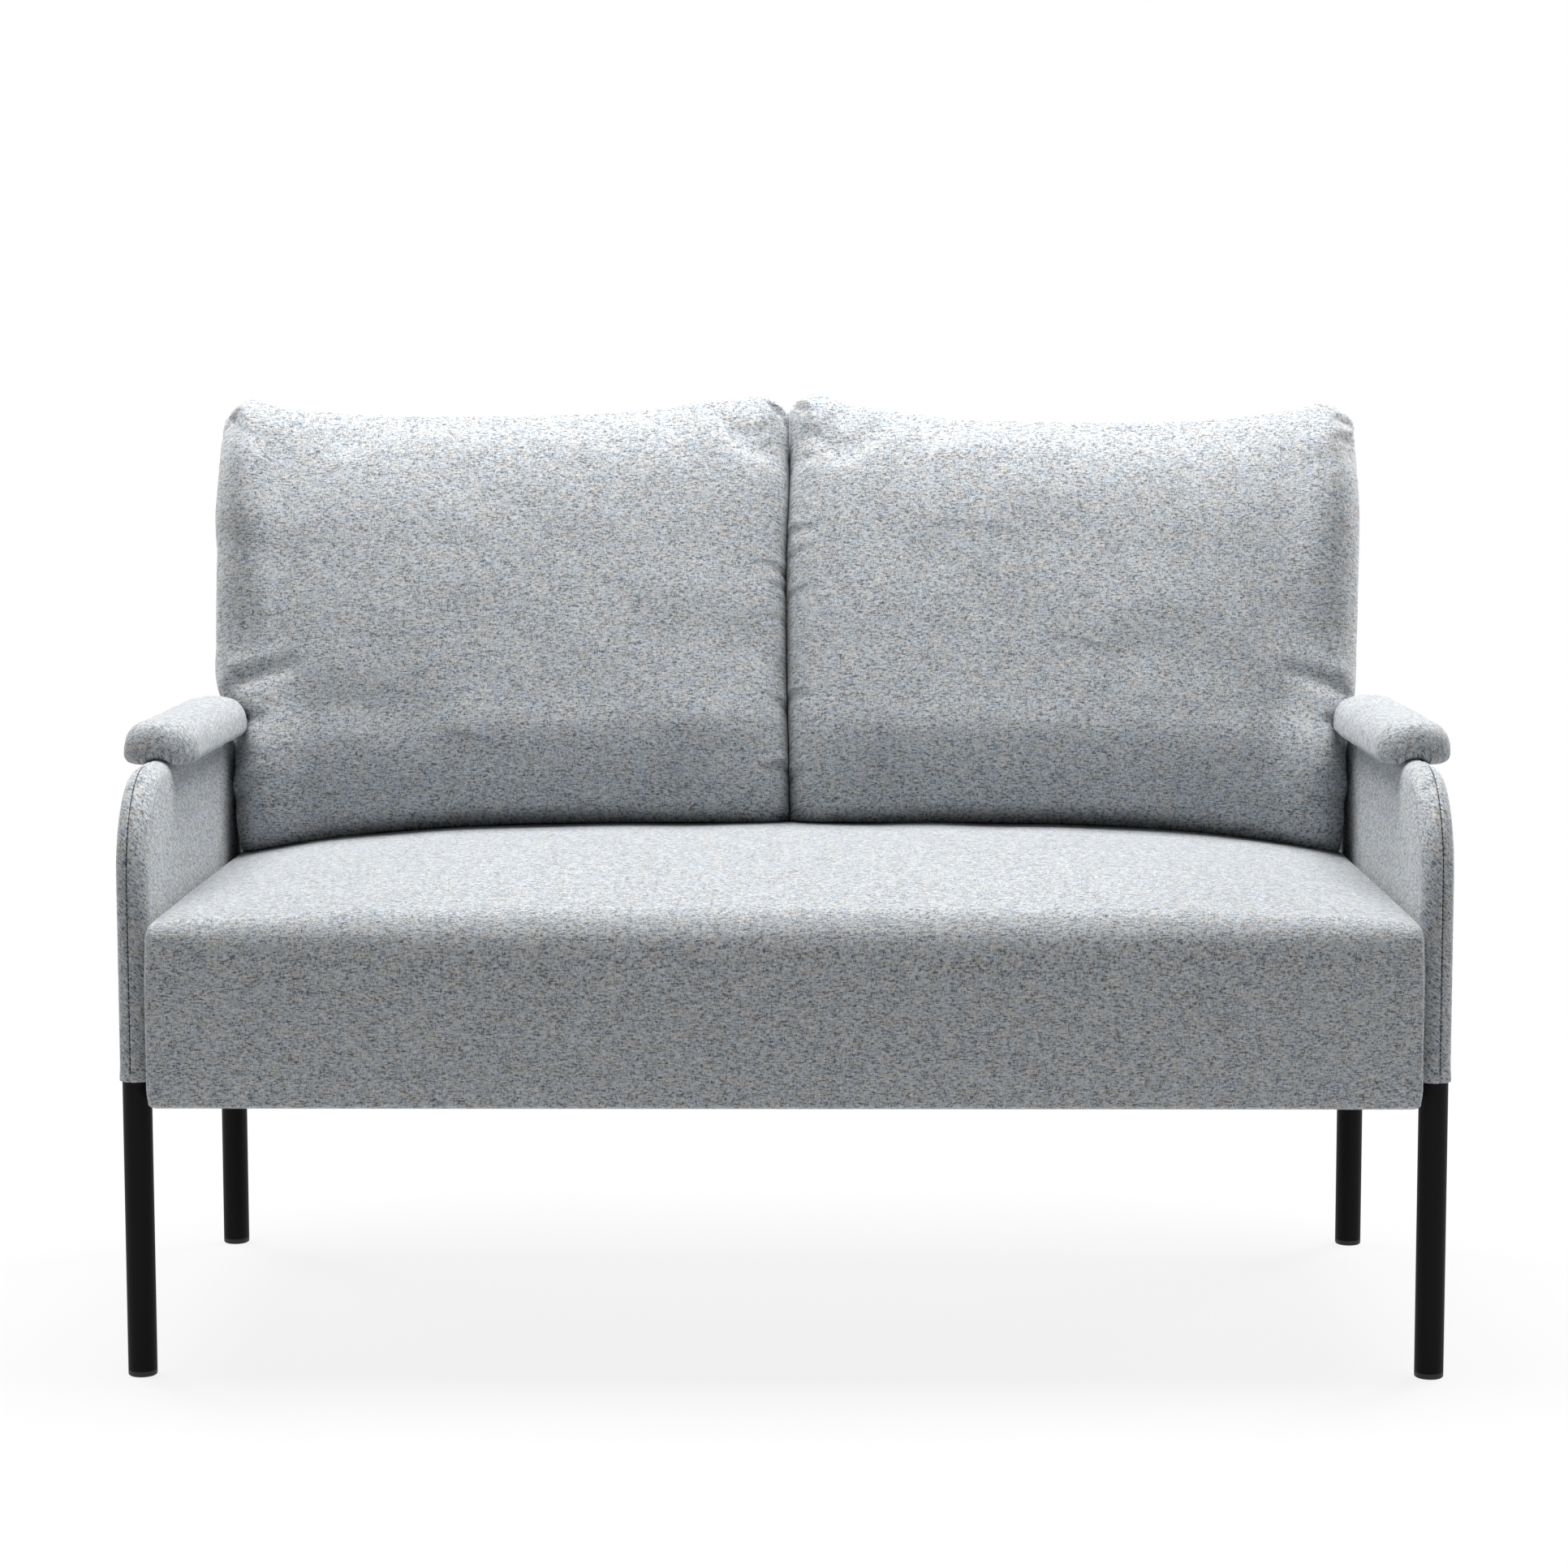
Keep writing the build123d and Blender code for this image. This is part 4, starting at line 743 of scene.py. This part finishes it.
# tucks and creases: start across and up the back, end across and up, depth, width, share of the roll beside it
folds = {
    "left": (
        (0.660, 0.488, 0.646, 0.496, 0.0050, 0.0050, 0.3), (0.662, 0.484, 0.612, 0.440, 0.0034, 0.0130, 0.6),
        (0.020, 0.503, 0.010, 0.495, 0.0045, 0.0035, 0.7), (0.012, 0.496, 0.003, 0.478, 0.0025, 0.0035, 0.4),
        (0.003, 0.297, 0.040, 0.303, 0.0020, 0.0055, 0.6), (0.003, 0.281, 0.030, 0.276, 0.0016, 0.0050, 0.5),
        (0.003, 0.238, 0.034, 0.236, 0.0012, 0.0065, 0.4), (0.003, 0.136, 0.030, 0.148, 0.0022, 0.0055, 0.6),
        (0.003, 0.067, 0.036, 0.058, 0.0024, 0.0060, 0.8), (0.002, 0.012, 0.038, 0.020, 0.0034, 0.0055, 0.8),
        (0.636, 0.166, 0.560, 0.182, 0.0075, 0.0110, 0.3), (0.634, 0.124, 0.600, 0.116, 0.0060, 0.0080, 0.2),
        (0.634, 0.030, 0.590, 0.050, 0.0050, 0.0110, 0.4), (0.630, 0.070, 0.590, 0.066, 0.0025, 0.0140, 0.3),
        (0.655, 0.330, 0.560, 0.300, 0.0024, 0.0240, 0.4), (0.050, 0.200, 0.220, 0.228, 0.0022, 0.0320, 0.5),
        (0.430, 0.110, 0.560, 0.140, 0.0022, 0.0340, 0.5),
    ),
    "right": (
        (0.660, 0.486, 0.632, 0.478, 0.0060, 0.0048, 0.7), (0.656, 0.458, 0.630, 0.447, 0.0038, 0.0052, 0.6),
        (0.664, 0.468, 0.659, 0.455, 0.0050, 0.0038, 0.2), (0.658, 0.440, 0.600, 0.410, 0.0024, 0.0150, 0.4),
        (0.010, 0.503, 0.024, 0.493, 0.0040, 0.0045, 0.6), (0.004, 0.346, 0.034, 0.342, 0.0020, 0.0055, 0.6),
        (0.004, 0.317, 0.030, 0.322, 0.0016, 0.0050, 0.5), (0.003, 0.269, 0.030, 0.274, 0.0014, 0.0055, 0.4),
        (0.003, 0.149, 0.030, 0.142, 0.0018, 0.0055, 0.5), (0.003, 0.056, 0.030, 0.063, 0.0022, 0.0060, 0.6),
        (0.632, 0.158, 0.560, 0.178, 0.0065, 0.0110, 0.3), (0.634, 0.118, 0.604, 0.110, 0.0045, 0.0080, 0.2),
        (0.634, 0.028, 0.596, 0.048, 0.0045, 0.0110, 0.4), (0.400, 0.190, 0.520, 0.160, 0.0022, 0.0340, 0.5),
        (0.300, 0.330, 0.470, 0.300, 0.0018, 0.0400, 0.4),
    ),
}


def bow(part):
    # quarter circle from nothing to full
    return np.sqrt(np.clip(1 - (1 - np.clip(part, 0, 1)) ** 2, 0, 1))


def thickAt(share, climb):
    # full at the middle and thinner to the sides, though less so up the outer side
    c = cushion
    fuller = 1 + c["lowFuller"] * smooth((share - 0.84) / 0.14) * (1 - smooth((climb - 0.04) / 0.20))
    fuller += c["highFuller"] * smooth((share - 0.86) / 0.08) * smooth((climb - 0.16) / 0.30)
    return c["thick"] * ease(share, c["thickPlaces"], c["thickShares"]) * fuller


def cushionPlaces(u, v, sideName):
    # place across, up and out of the front and rear cloth at shares u across and v up
    c = cushion
    high = ease(u, c["stationShares"], headHeights[sideName])
    low = ease(u, c["stationShares"], c["footHeights"])
    climb = low + (high - low) * v
    thick = thickAt(u, climb)
    inner = c["gap"] - c["press"] + (1 if sideName == "right" else -1) * ease(climb, meetHeights, meetPlaces)
    across = inner + (ease(climb, sideHeights, sideReach[sideName]) - inner) * u
    fromFoot, fromHead = (climb - low) / thick, (high - climb) / thick
    outerZone = c["lowZone"] + (c["outerZone"] - c["lowZone"]) * smooth((climb - 0.10) / 0.08)
    side = bow(u / c["innerZone"]) * bow((1 - u) / outerZone)
    dome = ease(v, c["domePlaces"], c["domeShares"])
    ends = bow(fromFoot / c["footRound"]) * bow(fromHead / c["headRound"])
    rearEnds = bow(fromFoot / c["rearRound"]) * bow(fromHead / c["rearRound"])
    front = c["rear"] + thick * (c["seamShare"] + (dome - c["seamShare"]) * ends * side)
    rear = c["rear"] + thick * c["seamShare"] * (1 - rearEnds * side)
    return across, climb, front, rear


def crowded(zoneLow, zoneHigh, steps, zoneSteps=9):
    # shares from 0 to 1, close together in both end zones, where the cloth turns
    turn = 1 - np.cos(np.linspace(0, math.pi / 2, zoneSteps + 1))
    middle = np.linspace(zoneLow, 1 - zoneHigh, steps + 1)[1:-1]
    return np.concatenate([zoneLow * turn, middle, 1 - zoneHigh * turn[::-1]])


def makeCushion(sideName, sign):
    c = cushion
    shares = crowded(c["innerZone"], c["outerZone"], c["across"], 6), crowded(0.07, 0.08, c["up"])
    u, v = np.meshgrid(*shares, indexing="ij")
    across, climb, front, rear = cushionPlaces(u, v, sideName)
    rows, columns = u.shape
    points = np.concatenate([fromBack(sign * across, climb, out).reshape(-1, 3) for out in (front, rear)])
    faceFront, faceRear = gridQuads(rows, columns), gridQuads(rows, columns, rows * columns, flip=True)
    cloth = np.stack([sign * across, climb], -1).reshape(-1, 2)
    uvs = np.concatenate([cloth[faceFront], cloth[faceRear - rows * columns] + np.array([0.0, 0.7])])
    piece = makeMesh("cushion_" + sideName, points, np.concatenate([faceFront, faceRear]), uvs)
    joinDoubles(piece)
    recalc(piece)
    inflate(piece, sign)
    subdivide(piece)
    sculptCushion(piece, sideName, sign)
    replaced = ("cushion_cover_" + sideName, "cushion_filling_" + sideName)
    dress(piece, "cushion_" + sideName, "grey_fabric", replaced)
    print("cushion", sideName, "done")


def localOf(points, sign):
    # fromBack the other way round, mirrored for the left cushion
    y, z = points[:, 1] - backFootY, points[:, 2] - backFootZ
    return np.stack([sign * points[:, 0], y * leanSin + z * leanCos, -y * leanCos + z * leanSin], -1)


def seamDistance(local, sideName):
    # how far out of the seam's surface a point is: the seam runs at its share of the thickness all round
    c = cushion
    share = np.clip(local[:, 0] / ease(local[:, 1], sideHeights, sideReach[sideName]), 0, 1)
    thick = thickAt(share, local[:, 1])
    return local[:, 2] - c["rear"] - c["seamShare"] * thick, share


def inflate(piece, sign):
    # blow the pillow up gently, its seams drawn short, and let no point go further than the cap
    local = localOf(pointsOf(piece), sign)
    near = bell(seamDistance(local, "right" if sign > 0 else "left")[0], swelling["seamReach"])
    seams = piece.vertex_groups.new(name="seams")
    for number in np.nonzero(near > 0.05)[0]:
        seams.add([int(number)], float(near[number]), "REPLACE")
    step = piece.modifiers.new("Cloth", "CLOTH")
    settings = step.settings
    settings.quality = swelling["quality"]
    settings.mass = swelling["mass"]
    settings.use_pressure = True
    settings.uniform_pressure_force = swelling["pressure"]
    settings.tension_stiffness = settings.compression_stiffness = swelling["stretch"]
    settings.shear_stiffness = swelling["shear"]
    settings.bending_stiffness = swelling["bending"]
    settings.vertex_group_shrink = "seams"
    settings.shrink_min, settings.shrink_max = 0.0, swelling["seamShrink"]
    settings.effector_weights.gravity = 0.0
    step.point_cache.frame_start, step.point_cache.frame_end = 1, swelling["frames"]
    for number in range(1, swelling["frames"] + 1):
        bpy.context.scene.frame_set(number)
    applyModifiers(piece)
    bpy.context.scene.frame_set(1)
    # the swelling counts out of the face, and is mostly held back along it, so that the outline keeps its place
    moved = (localOf(pointsOf(piece), sign) - local) * np.array(swelling["freedom"])
    far = np.linalg.norm(moved, axis=1, keepdims=True)
    local += moved * np.minimum(1, swelling["cap"] / np.maximum(far, 1e-9))
    setPoints(piece, fromBack(sign * local[:, 0], local[:, 1], local[:, 2]))


def foldDepth(local, listed):
    # each fold is a trench along a short line, deepest at its start, with a roll of cloth above it
    depth = np.zeros(len(local))
    for *ends, deep, width, roll in listed:
        start, run = np.array(ends[:2]), np.array(ends[2:]) - np.array(ends[:2])
        length = np.linalg.norm(run)
        place = local[:, :2] - start
        along = np.clip(place @ run / length**2, 0, 1)
        aside = place - along[:, None] * run
        away = np.linalg.norm(aside, axis=1)
        above = aside @ np.array([-run[1], run[0]]) / length * (1 if run[0] > 0 else -1)
        fade = (1 - along) ** 0.7
        ridge = np.where(above > 0, bell(away - 1.8 * width, width), 0)
        depth += deep * fade * (bell(away, width) - roll * ridge)
    return depth


def sculptCushion(piece, sideName, sign):
    c = cushion
    points, normals = pointsOf(piece), pointsOf(piece, "normal")
    local = localOf(points, sign)
    away, share = seamDistance(local, sideName)
    facing = smooth(away / 0.025 + 0.1)
    rise = np.clip((local[:, 1] - c["foot"]) / (c["height"] - c["foot"]), 0, 1)
    edge = np.minimum(np.minimum(share, 1 - share), np.minimum(rise, 1 - rise))
    plane = np.stack([local[:, 0], 0.8 * local[:, 1]], -1)
    broad = c["broadDepth"] * ripple(plane, c["broadSize"], 21 + sign)
    broad = (broad + c["fineDepth"] * ripple(plane, c["fineSize"], 31 + sign)) * smooth(edge / 0.12)
    run = (local[:, 0] + local[:, 1]) * 2 * np.pi / c["gatherSize"]
    gathers = c["gatherDepth"] * np.sin(run + 1.5 * ripple(plane, 0.06, 41 + sign))
    gathers *= bell(away, c["gatherReach"])
    seam = c["seamDepth"] * bell(away, c["seamWidth"])
    move = broad * facing - foldDepth(local, folds[sideName]) * facing - gathers - seam
    local = localOf(points + normals * move[:, None], sign)
    keepClear(local, sign)
    setPoints(piece, fromBack(sign * local[:, 0], local[:, 1], local[:, 2]))


def keepClear(local, sign):
    # flat where it rests: clear of the back, of the other cushion, of the seat and of the sleeves
    c = cushion
    local[:, 0] = np.maximum(local[:, 0], c["gap"] + sign * ease(local[:, 1], meetHeights, meetPlaces))
    local[:, 2] = np.maximum(local[:, 2], c["rear"])
    world = fromBack(sign * local[:, 0], local[:, 1], local[:, 2])
    below = seatTop(world[:, 0], world[:, 1]) + room["overSeat"] - world[:, 2]
    near = world[:, 1] < seatHigh.y + 0.01
    local[:, 1] += np.where(near, np.maximum(below, 0) / leanCos, 0)
    # behind the sleeve's rounded rear corner the side swells, with the distance from the corner's centre
    cornerY, cornerZ = rearLeg.y - sleeve["bend"], sleeve["armAxis"] - sleeve["bend"]
    corner = np.hypot(world[:, 1] - cornerY, world[:, 2] - cornerZ)
    behind = smooth((corner - room["swellFrom"]) / room["swellOver"])
    behind *= (world[:, 2] > cornerZ) & (world[:, 1] > cornerY)
    outer = smooth((local[:, 0] - 0.600) / 0.035) * (1 - smooth((world[:, 2] - 0.625) / 0.03))
    local[:, 0] += room["swell"] * behind * outer
    free = smooth((world[:, 2] - room["freeFrom"]) / room["freeOver"]) * room["free"]
    free = np.maximum(free, behind * (room["swell"] + 0.004))
    local[:, 0] = np.minimum(local[:, 0], legX - room["besideLeg"] + free)


for sideName, sign in sides:
    makeCushion(sideName, sign)


# dust sheet under the seat, stapled round its edge
dust = {
    "sag": 0.0025, "cloth": 0.0006, "stapleWide": 0.011, "stapleThick": 0.0007, "stapleInset": 0.006,
    "staplePitch": 0.055,
}


def makeDustSheet():
    # the sag grows with the root of the sines across and along
    d = dust
    low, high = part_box("seat_dust_sheet")
    a, b = np.meshgrid(np.linspace(low.x, high.x, 90), np.linspace(low.y, high.y, 48), indexing="ij")
    across, deep = (a - low.x) / (high.x - low.x), (b - low.y) / (high.y - low.y)
    sag = d["sag"] * (np.sin(np.pi * across) * np.sin(np.pi * deep)) ** 0.5
    tension = 0.0003 * ripple(np.stack([a, b], -1), 0.09, 44) * np.minimum(1, sag / 0.001)
    grid = np.stack([a, b, high.z - d["cloth"] - sag + tension], -1)
    number = gridQuads(90, 48, flip=True)
    piece = makeMesh("dust_sheet", grid, number, np.stack([a, b], -1).reshape(-1, 2)[number])
    thicken(piece, d["cloth"], 0)
    dress(piece, "frame_and_seat", "dust_cloth", ("seat_dust_sheet",))
    inset = d["stapleInset"]
    lowX, highX, lowY, highY = low.x + inset, high.x - inset, low.y + inset, high.y - inset
    places = [(x, y, 0) for x in np.arange(lowX, highX, d["staplePitch"]) for y in (lowY, highY)]
    places += [(x, y, 1) for y in np.arange(lowY, highY, d["staplePitch"]) for x in (lowX, highX)]
    half, thick = d["stapleWide"] / 2, d["stapleThick"] / 2
    cube = np.array([(x, y, z) for x in (-half, half) for y in (-thick, thick) for z in (-thick, thick)])
    turned = cube[:, [1, 0, 2]]
    under = high.z - d["cloth"] - d["stapleThick"]
    points = np.concatenate([(turned if way else cube) + np.array([x, y, under]) for x, y, way in places])
    box = np.array([[0, 1, 3, 2], [4, 6, 7, 5], [0, 4, 5, 1], [2, 3, 7, 6], [0, 2, 6, 4], [1, 5, 7, 3]])
    quads = (box[None] + 8 * np.arange(len(places))[:, None, None]).reshape(-1, 4)
    staples = makeMesh("dust_sheet_staples", points, quads)
    recalc(staples)
    dress(staples, "frame_and_seat", "zinc_steel")


makeDustSheet()
print("dust sheet done")


# floor, light and camera
studio = {
    "floorSize": 16.0, "floorColour": (0.80, 0.80, 0.80, 1), "floorShow": 0.86, "worldLight": 0.065,
    "lamps": (("overhead", (0.0, 0.15, 3.3), (0.0, 0.0, 0.5), (3.6, 2.0), 186.0),
              ("leftBack", (-2.6, 2.2, 1.4), (0.0, 0.1, 0.7), (1.2, 1.6), 36.0),
              ("rightBack", (2.6, 2.2, 1.4), (0.0, 0.1, 0.7), (1.2, 1.6), 52.0)),
}
cameraFit = {
    "x": 0.0517, "beyondLegs": 4.0097, "height": 1.007, "yaw": 0.787, "pitch": 6.027, "roll": -0.102,
    "lens": 84.22, "sensor": 36.0,
}


def makeFloor():
    half = studio["floorSize"] / 2
    points = np.array([(-half, -half, 0), (half, -half, 0), (half, half, 0), (-half, half, 0)], float)
    floor = makeMesh("floor", points, np.array([[0, 1, 2, 3]]))
    material, tree, shader = newMaterial("paleFloor")
    shader.inputs["Base Color"].default_value = studio["floorColour"]
    shader.inputs["Roughness"].default_value = 0.9
    shader.inputs["Specular IOR Level"].default_value = 0.1
    place = tree.nodes.new("ShaderNodeTexCoord").outputs["Object"]
    away = addNode(tree, "ShaderNodeVectorMath", links={0: place}, operation="LENGTH").outputs["Value"]
    white = sharpened(tree, away, 0.9, 1.9, studio["floorShow"], 1.0)
    glow = addNode(tree, "ShaderNodeEmission", {"Color": (1, 1, 1, 1), "Strength": 1.0})
    share = combine(tree, "MULTIPLY", white, seenBy(tree, "Is Glossy Ray"))
    mixShaders(tree, share, shader, glow, "Material Output")
    floor.data.materials.append(material)


def makeWorld():
    world = bpy.data.worlds.new("studio")
    bpy.context.scene.world = world
    world.use_nodes = True
    tree = world.node_tree
    light = tree.nodes["Background"]
    light.inputs["Color"].default_value = (1, 1, 1, 1)
    light.inputs["Strength"].default_value = studio["worldLight"]
    white = addNode(tree, "ShaderNodeBackground", {"Color": (1, 1, 1, 1), "Strength": 1.0})
    mixShaders(tree, seenBy(tree, "Is Glossy Ray", "Is Transmission Ray"), light, white, "World Output")


def makeLamp(name, place, target, size, power):
    data = bpy.data.lights.new(name, "AREA")
    data.shape, data.size, data.size_y, data.energy = "RECTANGLE", size[0], size[1], power
    lamp = bpy.data.objects.new(name, data)
    lamp.location = place
    lamp.rotation_euler = (Vector(target) - Vector(place)).to_track_quat("-Z", "Y").to_euler()
    bpy.context.scene.collection.objects.link(lamp)


def makeCamera():
    f = cameraFit
    yaw, pitch, roll = (math.radians(f[key]) for key in ("yaw", "pitch", "roll"))
    ahead = Vector((-math.sin(yaw) * math.cos(pitch), math.cos(yaw) * math.cos(pitch), -math.sin(pitch)))
    level = Vector((math.cos(yaw), math.sin(yaw), 0))
    upright = level.cross(ahead)
    right = math.cos(roll) * level + math.sin(roll) * upright
    up = -math.sin(roll) * level + math.cos(roll) * upright
    data = bpy.data.cameras.new("camera")
    data.sensor_width, data.lens = f["sensor"], f["lens"]
    camera = bpy.data.objects.new("camera", data)
    place = Matrix.Translation((f["x"], legMidY - f["beyondLegs"], f["height"]))
    camera.matrix_world = place @ Matrix((right, up, -ahead)).transposed().to_4x4()
    bpy.context.scene.collection.objects.link(camera)
    bpy.context.scene.camera = camera


makeFloor()
makeWorld()
for lamp in studio["lamps"]:
    makeLamp(*lamp)
makeCamera()
bpy.context.scene.view_settings.view_transform = "Standard"
print("studio done")
